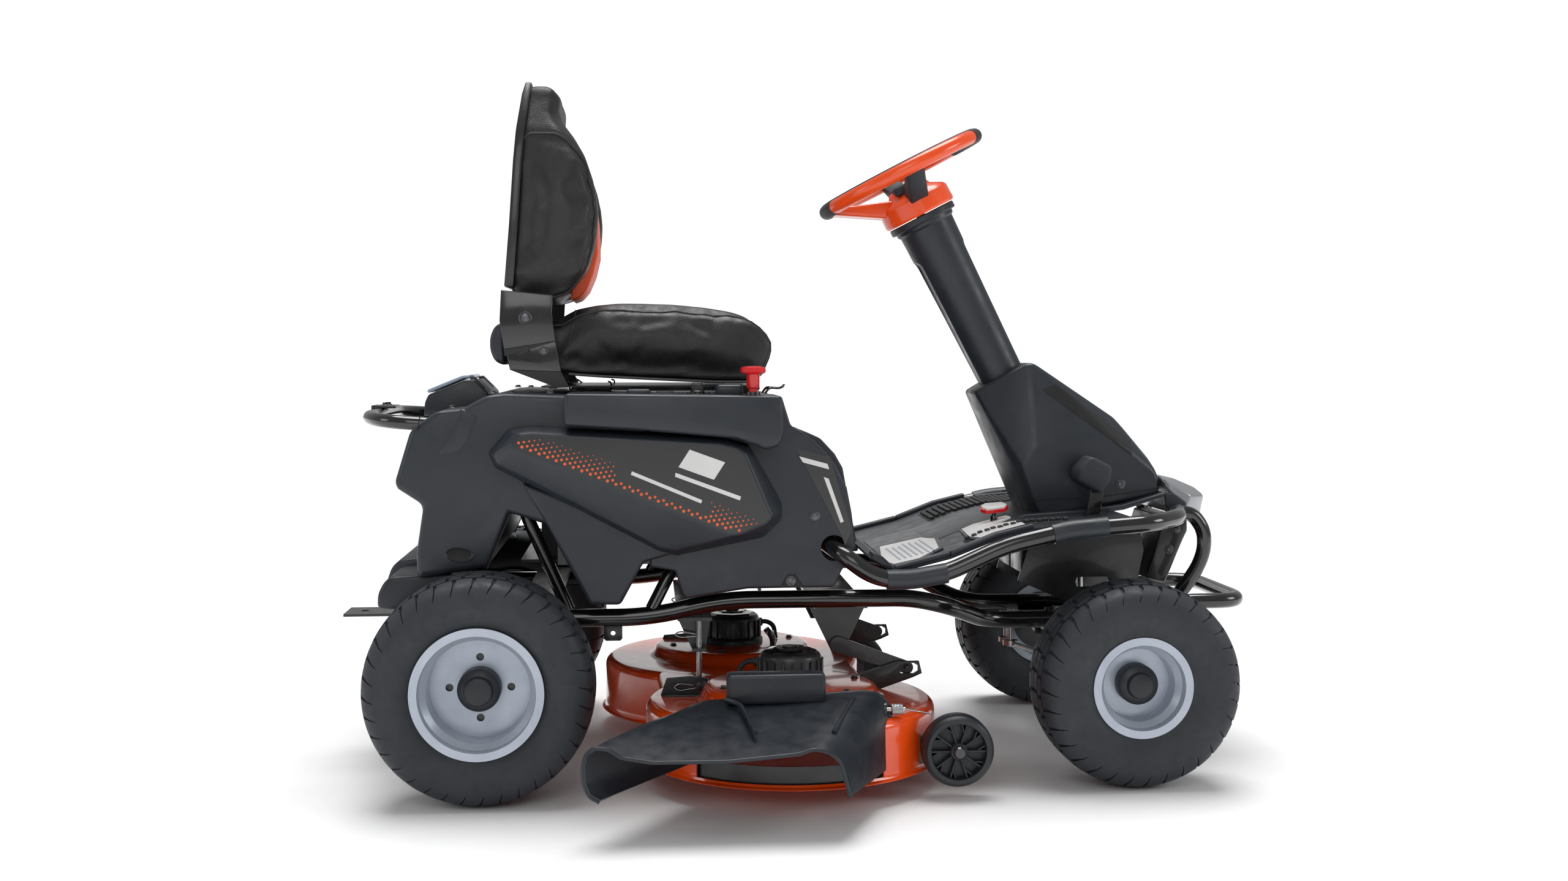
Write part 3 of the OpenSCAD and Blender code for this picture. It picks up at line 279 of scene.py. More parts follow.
CARRIED = {
    "tube": TUBE, "plate": PLATE, "body": BODY, "panel": FILM, "orange": ORANGE,
    "wheel_orange": WHEEL_ORANGE, "tyre": TYRE, "rim": RIM, "steel": STEEL, "motor": CASTING,
    "battery": CASE, "vinyl": VINYL, "red": RED, "pedal": PEDAL, "chute": CHUTE, "lens": LENS,
    "lid": LID, "gauge": GAUGE,
}


def dress_carried_nodes() -> int:
    """Gives every CAD node the finish of its material slot.

    Returns:
        How many nodes were dressed.
    """
    slots = {row["node"]: row["material_slot"] for row in frame["record"]["subparts"]}
    for name, node in frame["nodes"].items():
        material = CARRIED[slots[name]].material()
        if not node.material_slots:
            node.data.materials.append(material)
        for place in node.material_slots:
            place.material = material
    return len(frame["nodes"])


# ---- workpieces ----


def softened(path: Sequence[Point], bend: float, steps: int = 7) -> list[Vector]:
    """Rounds the corners of a path.

    Args:
        path: Corner points.
        bend: Length taken off each leg at a corner.
        steps: Pieces of each rounded corner.

    Returns:
        The path with its corners bent.
    """
    points = [Vector(p) for p in path]
    out = [points[0]]
    for before, here, after in zip(points, points[1:], points[2:]):
        run = min(bend, (before - here).length * 0.49, (after - here).length * 0.49)
        start = here + (before - here).normalized() * run
        end = here + (after - here).normalized() * run
        for i in range(steps + 1):
            t = i / steps
            out.append(start * (1 - t) ** 2 + here * 2 * t * (1 - t) + end * t * t)
    return out + [points[-1]]


def round_edges(bm: bmesh.types.BMesh, edge: float, segments: int = 3, sharp: float = 20.0) -> None:
    """Turns the faces of a closed solid outwards and rounds its edges.

    Args:
        bm: The solid.
        edge: Width of the rounding, 0 for none.
        segments: Steps of the rounding.
        sharp: Least turn of an edge that gets rounded, in degrees.
    """
    bmesh.ops.remove_doubles(bm, verts=bm.verts, dist=0.001)
    bmesh.ops.recalc_face_normals(bm, faces=bm.faces)
    if edge > 0:
        limit = math.radians(sharp)
        picked = [e for e in bm.edges if len(e.link_faces) == 2 and e.calc_face_angle(0) > limit]
        bmesh.ops.bevel(bm, geom=picked, offset=edge, offset_type="OFFSET", segments=segments,
                        profile=0.5, affect="EDGES", clamp_overlap=True, material=-1)


class Blank:
    """A workpiece made of mesh solids, in millimetres from the rear axle."""

    def __init__(self) -> None:
        """Starts empty."""
        self.bm = bmesh.new()

    def take(self, solid: bmesh.types.BMesh, place: Matrix | None = None) -> "Blank":
        """Adds a solid to the workpiece.

        Args:
            solid: The mesh, which is used up.
            place: Where it goes, or None to leave it.

        Returns:
            The workpiece.
        """
        if place is not None:
            bmesh.ops.transform(solid, matrix=place, verts=solid.verts)
        mesh = bpy.data.meshes.new("blank")
        solid.to_mesh(mesh)
        solid.free()
        self.bm.from_mesh(mesh)
        bpy.data.meshes.remove(mesh)
        return self

    def slab(self, outline: Sequence[Flat], y0: float, y1: float, edge: float = 0.0,
             segments: int = 3, place: Matrix | None = None) -> "Blank":
        """Adds an outline in the x-z plane, extruded across from y0 to y1, with rounded edges."""
        solid = bmesh.new()
        face = solid.faces.new([solid.verts.new((x, y0, z)) for x, z in outline])
        grown = bmesh.ops.extrude_face_region(solid, geom=[face])["geom"]
        moved = [v for v in grown if isinstance(v, bmesh.types.BMVert)]
        bmesh.ops.translate(solid, vec=(0, y1 - y0, 0), verts=moved)
        round_edges(solid, edge, segments)
        return self.take(solid, place)

    def block(self, low: Point, high: Point, edge: float = 0.0, segments: int = 2,
              place: Matrix | None = None) -> "Blank":
        """Adds a box between two corners, with rounded edges."""
        solid = bmesh.new()
        bmesh.ops.create_cube(solid, size=1.0)
        size = Vector(high) - Vector(low)
        bmesh.ops.scale(solid, vec=size, verts=solid.verts)
        bmesh.ops.translate(solid, vec=(Vector(high) + Vector(low)) / 2, verts=solid.verts)
        round_edges(solid, edge, segments)
        return self.take(solid, place)

    def hull(self, points: Iterable[Point], edge: float = 0.0, segments: int = 3,
             place: Matrix | None = None) -> "Blank":
        """Adds the convex solid round some points, with rounded edges."""
        solid = bmesh.new()
        for point in points:
            solid.verts.new(point)
        bmesh.ops.convex_hull(solid, input=solid.verts)
        loose = [v for v in solid.verts if not v.link_faces]
        bmesh.ops.delete(solid, geom=loose, context="VERTS")
        bmesh.ops.dissolve_limit(solid, angle_limit=math.radians(2), verts=solid.verts,
                                 edges=solid.edges)
        round_edges(solid, edge, segments, sharp=9.0)
        return self.take(solid, place)

    def turned(self, profile: Sequence[Flat], place: Matrix, steps: int = 64,
               turn: float = 360.0) -> "Blank":
        """Adds a lathe shape: (radius, height) points spun about the local z axis.

        Args:
            profile: The section, closed on itself or ending on the axis.
            place: Where the axis stands.
            steps: Steps of the spin.
            turn: Angle of the spin in degrees.

        Returns:
            The workpiece.
        """
        solid = bmesh.new()
        verts = [solid.verts.new((r, 0, h)) for r, h in profile]
        closed = profile[0][0] > 0.01 or profile[-1][0] > 0.01
        pairs = list(zip(verts, verts[1:])) + ([(verts[-1], verts[0])] if closed else [])
        edges = [solid.edges.new(pair) for pair in pairs]
        whole = turn >= 360
        bmesh.ops.spin(solid, geom=verts + edges, cent=(0, 0, 0), axis=(0, 0, 1),
                       angle=math.radians(turn), steps=steps, use_merge=whole, use_duplicate=False)
        if not whole:
            rims = [e for e in solid.edges if e.is_boundary]
            bmesh.ops.holes_fill(solid, edges=rims, sides=0)
        round_edges(solid, 0)
        return self.take(solid, place)

    def rod(self, start: Point, end: Point, radius: float, top: float | None = None,
            edge: float = 0.0, segments: int = 24) -> "Blank":
        """Adds a round bar from start to end, tapering to top if that is given."""
        solid = bmesh.new()
        run = Vector(end) - Vector(start)
        bmesh.ops.create_cone(solid, cap_ends=True, segments=segments, radius1=radius,
                              radius2=radius if top is None else top, depth=run.length)
        round_edges(solid, edge, 2, sharp=40.0)
        middle = Matrix.Translation((Vector(start) + Vector(end)) / 2)
        return self.take(solid, middle @ run.to_track_quat("Z", "Y").to_matrix().to_4x4())

    def tube(self, path: Sequence[Point], radius: float, bend: float = 40.0,
             closed: bool = False) -> "Blank":
        """Adds a bent round bar along a path, capped at its ends."""
        curve = bpy.data.curves.new("path", "CURVE")
        curve.dimensions = "3D"
        curve.bevel_depth = radius
        curve.bevel_resolution = 5
        curve.use_fill_caps = True
        points = softened(path, bend) if bend else [Vector(p) for p in path]
        line = curve.splines.new("POLY")
        line.use_cyclic_u = closed
        line.points.add(len(points) - 1)
        for spot, point in zip(line.points, points):
            spot.co = (*point, 1)
        carrier = bpy.data.objects.new("path", curve)
        mesh = bpy.data.meshes.new_from_object(carrier)
        solid = bmesh.new()
        solid.from_mesh(mesh)
        bpy.data.objects.remove(carrier)
        bpy.data.meshes.remove(mesh)
        bpy.data.curves.remove(curve)
        round_edges(solid, 0)
        return self.take(solid)

    def bolt(self, at: Point, axis: Point, radius: float = 8.0, head: float = 5.0) -> "Blank":
        """Adds a hexagon head on its washer, standing along an axis."""
        way = Vector(axis).normalized()
        place = Matrix.Translation(at) @ way.to_track_quat("Z", "Y").to_matrix().to_4x4()
        r = radius * 1.35
        self.turned([(0, 1.4), (r - 0.8, 1.4), (r, 0.8), (r, 0), (0, 0)], place, 24)
        solid = bmesh.new()
        bmesh.ops.create_cone(solid, cap_ends=True, segments=6, radius1=radius, radius2=radius,
                              depth=head)
        round_edges(solid, radius * 0.1, 2)
        return self.take(solid, place @ Matrix.Translation((0, 0, head / 2 + 1.2)))

    def flipped(self) -> "Blank":
        """Swaps the workpiece to the machine's other side."""
        bmesh.ops.scale(self.bm, vec=(1, -1, 1), verts=self.bm.verts)
        bmesh.ops.reverse_faces(self.bm, faces=self.bm.faces)
        return self

    def both_sides(self) -> "Blank":
        """Adds the mirror image of the workpiece on the machine's other side."""
        other = self.bm.copy()
        bmesh.ops.scale(other, vec=(1, -1, 1), verts=other.verts)
        bmesh.ops.reverse_faces(other, faces=other.faces)
        return self.take(other)

    def only(self, keep: Callable[[Vector, Vector], bool]) -> "Blank":
        """Keeps the faces whose centre and normal pass a test."""
        lost = [f for f in self.bm.faces if not keep(f.calc_center_median(), f.normal)]
        bmesh.ops.delete(self.bm, geom=lost, context="FACES")
        return self

    def skinned(self, wall: float) -> "Blank":
        """Gives an open skin a wall, inwards."""
        bmesh.ops.recalc_face_normals(self.bm, faces=self.bm.faces)
        bmesh.ops.solidify(self.bm, geom=self.bm.faces[:], thickness=wall)
        return self

    def laid_on(self, target: "Blank", toward: Point, lift: float = 0.6) -> "Blank":
        """Drops each point onto another workpiece along a direction.

        Args:
            target: The workpiece that it lies on.
            toward: Direction of the drop.
            lift: How far above the surface the points stay.

        Returns:
            The workpiece.
        """
        tree = BVHTree.FromBMesh(target.bm)
        way = Vector(toward).normalized()
        for vert in self.bm.verts:
            spot, normal, _, _ = tree.ray_cast(vert.co - way * 400, way)
            if spot is not None:
                vert.co = spot + normal * lift
        return self

    def done(self, name: str, body: str, finish: Finish, replaces: Sequence[str] = (),
             smooth: float = 32.0) -> bpy.types.Object:
        """Turns the workpiece into a finished piece of the machine.

        Args:
            name: Name of the piece.
            body: The CAD body that it rides on.
            finish: Its finish.
            replaces: CAD nodes that it stands for.
            smooth: Edges that turn less than this are shaded smooth, in degrees.

        Returns:
            The piece's object, at the origin.
        """
        bmesh.ops.transform(self.bm, matrix=DATUM.matrix(), verts=self.bm.verts)
        mesh = bpy.data.meshes.new(name)
        self.bm.to_mesh(mesh)
        self.bm.free()
        mesh.shade_smooth()
        mesh.set_sharp_from_angle(angle=math.radians(smooth))
        piece = bpy.data.objects.new(name, mesh)
        bpy.context.scene.collection.objects.link(piece)
        mesh.materials.append(finish.material())
        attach(piece, body)
        if replaces:
            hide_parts(*replaces)
        LOG.info("%s on %s: %d faces", name, body, len(mesh.polygons))
        return piece


def across(x: float, y: float, z: float, side: int = 1) -> Matrix:
    """A lathe axis lying across the machine, pointing to the left, or right for side -1."""
    return Matrix.Translation((x, y, z)) @ Matrix.Rotation(-side * math.pi / 2, 4, "X")


def upright(x: float, y: float, z: float) -> Matrix:
    """A lathe axis standing up."""
    return Matrix.Translation((x, y, z))


def mirrored(path: Iterable[Point]) -> list[Point]:
    """The same points on the machine's other side."""
    return [(x, -y, z) for x, y, z in path]


# ---- tube frame ----


@dataclass
class TubeFrame:
    """Bent black tubes of the chassis."""

    rail: float = 16.5
    foot_rail: float = 16.0
    guard: float = 15.0
    upright: float = 14.0
    bumper: float = 13.0
    strut: float = 12.0
    rail_y: float = 280.0
    foot_y: float = 365.0

    def build(self) -> None:
        """Makes every tube of the frame."""
        for side, word in SIDES:
            self._rails(side, word)
        self._guard()
        self._bumper()
        self._struts()

    def _rails(self, side: int, word: str) -> None:
        """Makes a lower rail and a foot rail.

        Args:
            side: 1 for left, -1 for right.
            word: The side's name.
        """
        y, f = self.rail_y * side, self.foot_y * side
        lower = [(-150, y, 305), (300, y, 305), (430, y, 335), (FRONT_X - 400, y, 335),
                 (FRONT_X - 330, y - 18 * side, 317), (FRONT_X - 225, 120 * side, 265),
                 (FRONT_X + 100, 120 * side, 265)]
        Blank().tube(lower, self.rail, 60).done(f"lower_tube_{word}", "chassis", TUBE,
                                                [f"lower_rail_{word}"])
        foot = [(610, f - 85 * side, 452), (652, f - 4 * side, 424), (700, f, 388), (755, f, 378),
                (835, f, 391), (FRONT_X - 240, f, 441), (FRONT_X - 120, f, 468),
                (FRONT_X + 34, f, 480), (FRONT_X + 104, f - 65 * side, 484),
                (FRONT_X + 134, 204 * side, 484)]
        Blank().tube(foot, self.foot_rail, 34).done(f"foot_tube_{word}", "chassis", TUBE,
                                                    [f"foot_rail_{word}"])

    def _guard(self) -> None:
        """Makes the front hoop and the two bent uprights behind it."""
        nose = DATUM.high("front_guard").x - self.guard
        hoop = [(FRONT_X + 92, 156, 288), (FRONT_X + 160, 156, 303), (nose, 156, 303),
                (nose, -156, 303), (FRONT_X + 160, -156, 303), (FRONT_X + 92, -156, 288)]
        upright_path = [(FRONT_X + 134, 184, 482), (FRONT_X + 172, 180, 480),
                        (FRONT_X + 195, 180, 446), (FRONT_X + 197, 180, 412),
                        (FRONT_X + 187, 178, 378), (FRONT_X + 165, 174, 342),
                        (FRONT_X + 152, 168, 322)]
        guard = Blank().tube(hoop, self.guard, 62).tube(upright_path, self.upright, 24)
        guard.tube(mirrored(upright_path), self.upright, 24)
        guard.done("front_guard_tubes", "chassis", TUBE, ["front_guard"])

    def _bumper(self) -> None:
        """Makes the rear bumper, its latch plate and its clamp covers."""
        half = [(-52, 252, 658), (-180, 252, 667), (-226, 180, 672)]
        path = half + mirrored(reversed(half))
        Blank().tube(path, self.bumper, 50).done("rear_bumper_tube", "chassis", TUBE, ["rear_bumper"])
        latch = Blank().slab([(-240, 684), (-236, 690), (-198, 690), (-196, 684)], -34, 34, 1.5)
        latch.block((-243, -34, 672), (-238, 34, 690), 1.5).bolt((-218, 18, 690), (0, 0, 1), 6, 4)
        latch.bolt((-218, -18, 690), (0, 0, 1), 6, 4)
        latch.done("bumper_latch_plate", "chassis", PLATE)
        cover = [(-42, 683), (-39, 694), (-2, 681), (-25, 630), (-40, 612), (-88, 607), (-62, 647)]
        Blank().slab(cover, 254, 331, 7).both_sides().done("bumper_clamp_covers", "chassis", BODY)

    def _struts(self) -> None:
        """Makes the body struts, the drilled ears and the plates beside the steering gear."""
        path = [(150, 280, 320), (66, 280, 515), (50, 236, 690)]
        struts = Blank().tube(path, self.strut, 40).tube([(302, 280, 320), (345, 262, 402)],
                                                         self.strut, 0)
        struts.both_sides().done("body_strut_tubes", "chassis", TUBE)
        ear = [(-17, 13), (-17, -10), (-13, -14), (13, -14), (17, -10), (17, 13)]
        solid = Blank().slab([(231 + x, 276 + z) for x, z in ear], 277, 283, 0.8)
        hole = Blank().turned([(0, -9), (4.5, -9), (4.5, 9), (0, 9)], across(231, 280, 276), 32)
        ears = Blank().take(carved(solid, hole))
        ears.both_sides().done("accessory_ears", "chassis", PLATE, ["body_struts"])
        f = FRONT_X
        side = [(f - 156, 340), (f - 126, 438), (f + 90, 446), (f + 100, 400), (f + 76, 274),
                (f - 6, 270), (f - 66, 300)]
        slot = [(f - 40, 336), (f - 36, 346), (f + 26, 346), (f + 30, 336), (f + 26, 326), (f - 36, 326)]
        plates = Blank().take(carved(Blank().slab(side, 96, 101, 1), Blank().slab(slot, 90, 107)))
        plates.block((f - 150, 8, 356), (f - 145, 97, 434), 1).block((f + 78, 8, 330), (f + 83, 97, 440), 1)
        plates.bolt((f + 60, 101, 300), (0, 1, 0), 8).bolt((f - 100, 101, 420), (0, 1, 0), 7)
        plates.both_sides().done("steering_carrier_plates", "chassis", PLATE)


def carved(solid: Blank, cutter: Blank) -> bmesh.types.BMesh:
    """Cuts one workpiece out of another.

    Args:
        solid: What is cut.
        cutter: What is taken away, used up as well.

    Returns:
        The mesh that is left.
    """
    objects = []
    for blank in (solid, cutter):
        mesh = bpy.data.meshes.new("cut")
        blank.bm.to_mesh(mesh)
        blank.bm.free()
        objects.append(bpy.data.objects.new("cut", mesh))
        bpy.context.scene.collection.objects.link(objects[-1])
    cut = objects[0].modifiers.new("cut", "BOOLEAN")
    cut.operation = "DIFFERENCE"
    cut.solver = "EXACT"
    cut.object = objects[1]
    bpy.context.view_layer.update()
    shaped = objects[0].evaluated_get(bpy.context.evaluated_depsgraph_get())
    left = bmesh.new()
    left.from_mesh(shaped.to_mesh())
    for thing in objects:
        mesh = thing.data
        bpy.data.objects.remove(thing)
        bpy.data.meshes.remove(mesh)
    return left


# ---- wheels ----


@dataclass
class Tyre:
    """A turf tyre: smooth bulged side, sipes on the shoulder and four rows of blocks."""

    node: str
    body: str
    rim_radius: float
    groove: float = 5.0
    pitches: int = 36
    tread_rows: tuple[float, ...] = (0.0, 0.045, 0.27, 0.33, 0.53, 0.59, 0.73, 0.84, 0.92, 0.975)

    def build(self, side: int) -> None:
        """Makes the tyre and its hub cap.

        Args:
            side: 1 for left, -1 for right.
        """
        low, high = DATUM.low(self.node), DATUM.high(self.node)
        centre, half = (low + high) / 2, (high.y - low.y) / 2
        radius = (high.z - low.z) / 2
        tyre = bmesh.new()
        rows = self._section(radius, half)
        verts = [tyre.verts.new((r, 0, h)) for r, h in rows]
        edges = [tyre.edges.new(pair) for pair in zip(verts, verts[1:] + verts[:1])]
        bmesh.ops.spin(tyre, geom=verts + edges, cent=(0, 0, 0), axis=(0, 0, 1), angle=math.tau,
                       steps=self.pitches * 5, use_merge=True, use_duplicate=False)
        bmesh.ops.recalc_face_normals(tyre, faces=tyre.faces)
        cut = [f for f in tyre.faces if self._is_groove(f.calc_center_median(), half, radius)]
        self._lean_sipes(tyre, half, radius)
        bmesh.ops.inset_region(tyre, faces=cut, thickness=0.25, depth=-self.groove,
                               use_even_offset=True, use_boundary=True)
        blank = Blank().take(tyre, across(centre.x, centre.y, centre.z, side))
        blank.done(f"{self.node}_tread", self.body, TYRE, [self.node], smooth=38)

    def _section(self, radius: float, half: float) -> list[Flat]:
        """Outline of the tyre's section, from one bead over the tread to the other."""
        flange = self.rim_radius + 1
        belly = flange + 0.42 * (radius - flange)
        bead = half - 14.5
        side = [(self.rim_radius - 9, bead), (flange, bead)]
        for i in range(1, 5):
            side.append((flange + (belly - flange) * i / 5,
                         bead + (half - bead) * math.sin(math.radians(18 * i))))
        side.append((belly, half))
        for share in (0.995, *reversed(self.tread_rows)):
            rise = math.sqrt(max(0.0, 1 - share ** (2 / 0.62)))
            side.append((belly + (radius - belly) * rise ** 0.62, half * share))
        return side + [(r, -h) for r, h in reversed(side[:-1])]

    def _column(self, spot: Vector) -> float:
        """Place round the wheel within one pitch of the tread, from 0 to 5."""
        return (math.atan2(spot.y, spot.x) / math.tau * self.pitches * 5) % 5

    def _is_groove(self, spot: Vector, half: float, radius: float) -> bool:
        """Tells whether a face of the tread lies in a groove."""
        share = abs(spot.z) / half
        if math.hypot(spot.x, spot.y) < radius * 0.8 or share > 0.98:
            return False
        column = self._column(spot)
        rows = self.tread_rows
        ring = share < rows[1] or rows[2] < share < rows[3] or rows[4] < share < rows[5]
        start = 0.0 if share > rows[5] else (2.5 if rows[2] < share else 1.0)
        start += 0.5 if share < rows[2] and spot.z > 0 else 0.0
        return ring or start <= column < start + 1

    def _lean_sipes(self, tyre: bmesh.types.BMesh, half: float, radius: float) -> None:
        """Narrows the shoulder's sipes towards the side and leans them over."""
        step = math.tau / (self.pitches * 5)
        for vert in tyre.verts:
            share = abs(vert.co.z) / half
            reach = math.hypot(vert.co.x, vert.co.y)
            if share <= 0.74 or reach < radius * 0.72:
                continue
            taper = min(1.0, (share - 0.73) / 0.25)
            column = round(self._column(vert.co)) % 5
            pinch = 0.44 * taper * (1 if column == 0 else -1) if column in (0, 1) else 0.0
            turn = Matrix.Rotation(step * (pinch + 1.5 * taper * taper), 3, "Z")
            vert.co = turn @ vert.co


@dataclass
class HubCap:
    """A plain domed cap over a wheel's hub."""

    radius: float = 38.0
    crown: float = 25.0
    reach: float = 50.0

    def build(self, wheel: str, body: str, side: int) -> None:
        """Makes the cap on the outer side of a wheel."""
        low, high = DATUM.low(wheel), DATUM.high(wheel)
        centre = (low + high) / 2
        k = self.reach
        profile = [(0, k), (self.crown - 5, k - 0.6), (self.crown - 1.5, k - 2),
                   (self.crown, k - 4.5), (self.crown + 1.2, k - 12), (self.radius - 4, k - 15),
                   (self.radius - 1, k - 18), (self.radius, k - 22), (self.radius, 4),
                   (self.radius - 3, 4), (self.radius - 3, 22), (0, 26)]
        cap = Blank().turned(profile, across(centre.x, centre.y, centre.z, side), 64)
        cap.done(f"{wheel.replace('tyre', 'hub')}_cap", body, GAUGE, smooth=28)
        flange = Blank().turned([(31, -4.5), (74, -4.5), (76, -7), (76, -16), (31, -16)],
                                across(centre.x, centre.y, centre.z, side), 64)
        flange.done(f"{wheel.replace('tyre', 'hub')}_flange", body, PLATE, smooth=28)


def build_wheels() -> None:
    """Makes the four tyres and hub caps."""
    for side, word in SIDES:
        Tyre(f"rear_tyre_{word}", f"rear_wheel_{word}", 116).build(side)
        HubCap(38, 25, 52).build(f"rear_tyre_{word}", f"rear_wheel_{word}", side)
        Tyre(f"front_tyre_{word}", f"front_wheel_{word}", 92, pitches=32).build(side)
        HubCap(37, 23, 50).build(f"front_tyre_{word}", f"front_wheel_{word}", side)


# ---- painted body ----


@dataclass
class RearBody:
    """The rear cover over the battery and drive, with its mudguard humps and charging box."""

    half: float = 330.0
    outline: tuple[Flat, ...] = (
        (-118, 388), (8, 405), (45, 505), (150, 470), (298, 442), (298, 712), (150, 716), (40, 720),
        (8, 716), (-35, 692), (-79, 689), (-127, 655), (-157, 557), (-150, 548), (-106, 519),
        (-119, 433))

    def build(self) -> None:
        """Makes the cover and what is fixed to it."""
        shell = Blank().slab(self.outline, -self.half, self.half, 15, 4)
        shell.only(lambda c, n: not (n.z < -0.8 and c.z < 525 and abs(c.y) < self.half - 16))
        shell.skinned(3.5)
        shell.done("rear_cover", "chassis", BODY, ["rear_body"], smooth=40)
        self._humps()
        self._charge_box()
        self._details()

    def _humps(self) -> None:
        """Makes the low humps behind the wheels and the middle one."""
        side = [(-60, 336), (-60, 395), (-104, 392), (-168, 388), (-181, 378), (-192, 356),
                (-193, 330), (-150, 326)]
        middle = [(-60, 345), (-60, 404), (-150, 402), (-176, 399), (-192, 384), (-203, 352),
                  (-203, 342)]
        humps = Blank().slab(side, 148, 306, 13, 4).both_sides().slab(middle, -140, 140, 13, 4)
        humps.done("rear_humps", "chassis", BODY, smooth=40)

    def _charge_box(self) -> None:
        """Makes the box round the charging socket, its socket and its tinted lid."""
        side = [(-131, 672), (-129, 698), (-122, 713), (-56, 740), (-34, 742), (-8, 716), (-8, 672)]
        box = Blank().slab(side, 90, 115, 4).both_sides()
        box.slab([(-131, 672), (-129, 698), (-122, 711), (-112, 711), (-108, 672)], -95, 95, 3)
        box.slab([(-52, 672), (-52, 738), (-34, 742), (-8, 716), (-8, 672)], -95, 95, 3)
        box.block((-120, -95, 668), (-40, 95, 684), 2)
        box.slab([(-20, 716), (-46, 742), (-38, 748), (-14, 724)], 70, 100, 3)
        box.slab([(-20, 716), (-46, 742), (-38, 748), (-14, 724)], -100, -70, 3)
        box.done("charge_box", "chassis", BODY)
        socket = Blank().turned([(0, 4), (9, 4), (9, 14), (15, 14), (17, 12), (17, 0), (0, 0)],
                                upright(-80, 0, 684), 40)
        socket.rod((-80, -4, 686), (-80, -4, 696), 1.6).rod((-80, 4, 686), (-80, 4, 696), 1.6)
        socket.done("charge_socket", "chassis", PLATE)
        lid = Blank().slab([(-127, 716), (-121, 716), (-57, 743), (-44, 744), (-44, 750),
                            (-60, 749), (-126, 722)], -93, 93, 2.4, 3)
        lid.rod((-43, -60, 746), (-43, 60, 746), 3)
        lid.done("charge_lid_cover", "charge_flap", LID, ["charge_lid"])

    def _details(self) -> None:
        """Makes the panel gap lines, the finger hollows as rims round a painted-shade disc, and the screws."""
        y = self.half + 0.3
        gaps_and_hollow_shade = Blank().slab([(6, 404), (8, 404), (50, 503), (48, 503)], y - 2, y)
        # The finger hollow is not cut: a flat near-black disc paints its shade.
        gaps_and_hollow_shade.turned([(0, 0), (21, 0), (23, 0.5), (23, -2), (0, -2)],
                    across(-42, y, 430) @ Matrix.Rotation(0.1, 4, "Z") @ Matrix.Diagonal((1, 0.5, 1, 1)),
                    40)
        gaps_and_hollow_shade.slab([(-115, 655), (-113, 655), (-108, 680), (-110, 680)], y - 2, y)
        gaps_and_hollow_shade.both_sides().done("rear_gap_lines_and_hollow_shade", "chassis", JOINT_BLACK_AND_PAINTED_SHADE)
        rims = Blank().turned([(21, 0), (25, 0), (26.5, 1.5), (24, 2.6), (21.5, 1.2)],
                              across(-42, y - 0.6, 430) @ Matrix.Rotation(0.1, 4, "Z")
                              @ Matrix.Diagonal((1, 0.52, 1, 1)), 48)
        rims.both_sides().done("finger_hollow_rims", "chassis", BODY)
        screws = Blank()
        for x, y_at in ((48, 250), (17, 296), (-66, 200), (120, 300)):
            screws.bolt((x, y_at, 719 if x > 0 else 690), (0, 0, 1), 6, 4)
        screws.bolt((-132, 250, 610), (-1, 0, -0.3), 7, 4).bolt((-108, 290, 470), (-1, 0, 0), 7, 4)
        screws.both_sides().done("cover_screws", "chassis", BOLT)


@dataclass
class FrontSkirt:
    """The cover under the seat's front, with its side film and bolts."""

    half: float = 330.0
    outline: tuple[Flat, ...] = (
        (299, 404), (345, 396), (358, 353), (366, 345), (477, 362), (636, 363), (649, 392),
        (676, 435), (668, 500), (659, 546), (638, 589), (617, 615), (590, 640), (556, 660),
        (540, 712), (299, 712))

    def build(self) -> None:
        """Makes the skirt and its film."""
        tunnel = Blank().rod((635, -360, 435.5), (635, 360, 435.5), 24)
        skirt = Blank().slab(self.outline, -self.half, self.half, 14, 4)
        skirt.only(lambda c, n: not (n.z < -0.8 and c.z < 410 and abs(c.y) < self.half - 15))
        skirt.skinned(3.5)
        shaped = Blank().take(carved(skirt, tunnel))
        shaped.done("skirt_cover", "chassis", BODY, ["front_skirt"], smooth=40)
        hump = [(556, 640), (564, 646), (599, 640), (635, 625), (664, 594), (680, 566), (692, 500),
                (712, 400), (660, 400), (620, 560)]
        Blank().slab(hump, -90, 90, 14, 4).done("skirt_hump", "chassis", BODY, smooth=40)
        y = self.half + 0.2
        film = [(565, 619), (627, 603), (668, 470), (656, 440), (646, 466)]
        Blank().slab(film, y - 2, y + 0.5).both_sides().done("skirt_film", "chassis", FILM)
        stripe = [(571, 604), (623, 590), (626, 580), (578, 593)]
        stripes = Blank().slab(stripe, y - 1, y + 0.9)
        stripes.slab([(616, 566), (625, 563), (653, 484), (647, 482)], y - 1, y + 0.9)
        stripes.both_sides().done("skirt_film_stripe", "chassis", LABEL)
        bolts = Blank().bolt((600, y, 494), (0, 1, 0), 7).bolt((556, y, 376), (0, 1, 0), 7)
        bolts.both_sides().done("skirt_bolts", "chassis", BOLT)
        # The recess is not cut: a flat near-black sheet on the skirt paints the shade in it.
        recess = Blank().slab([(535, 364), (550, 389), (564, 389), (582, 364)], y - 3, y + 0.2)
        recess.both_sides().done("skirt_recess_painted_shade", "chassis", JOINT_BLACK_AND_PAINTED_SHADE)


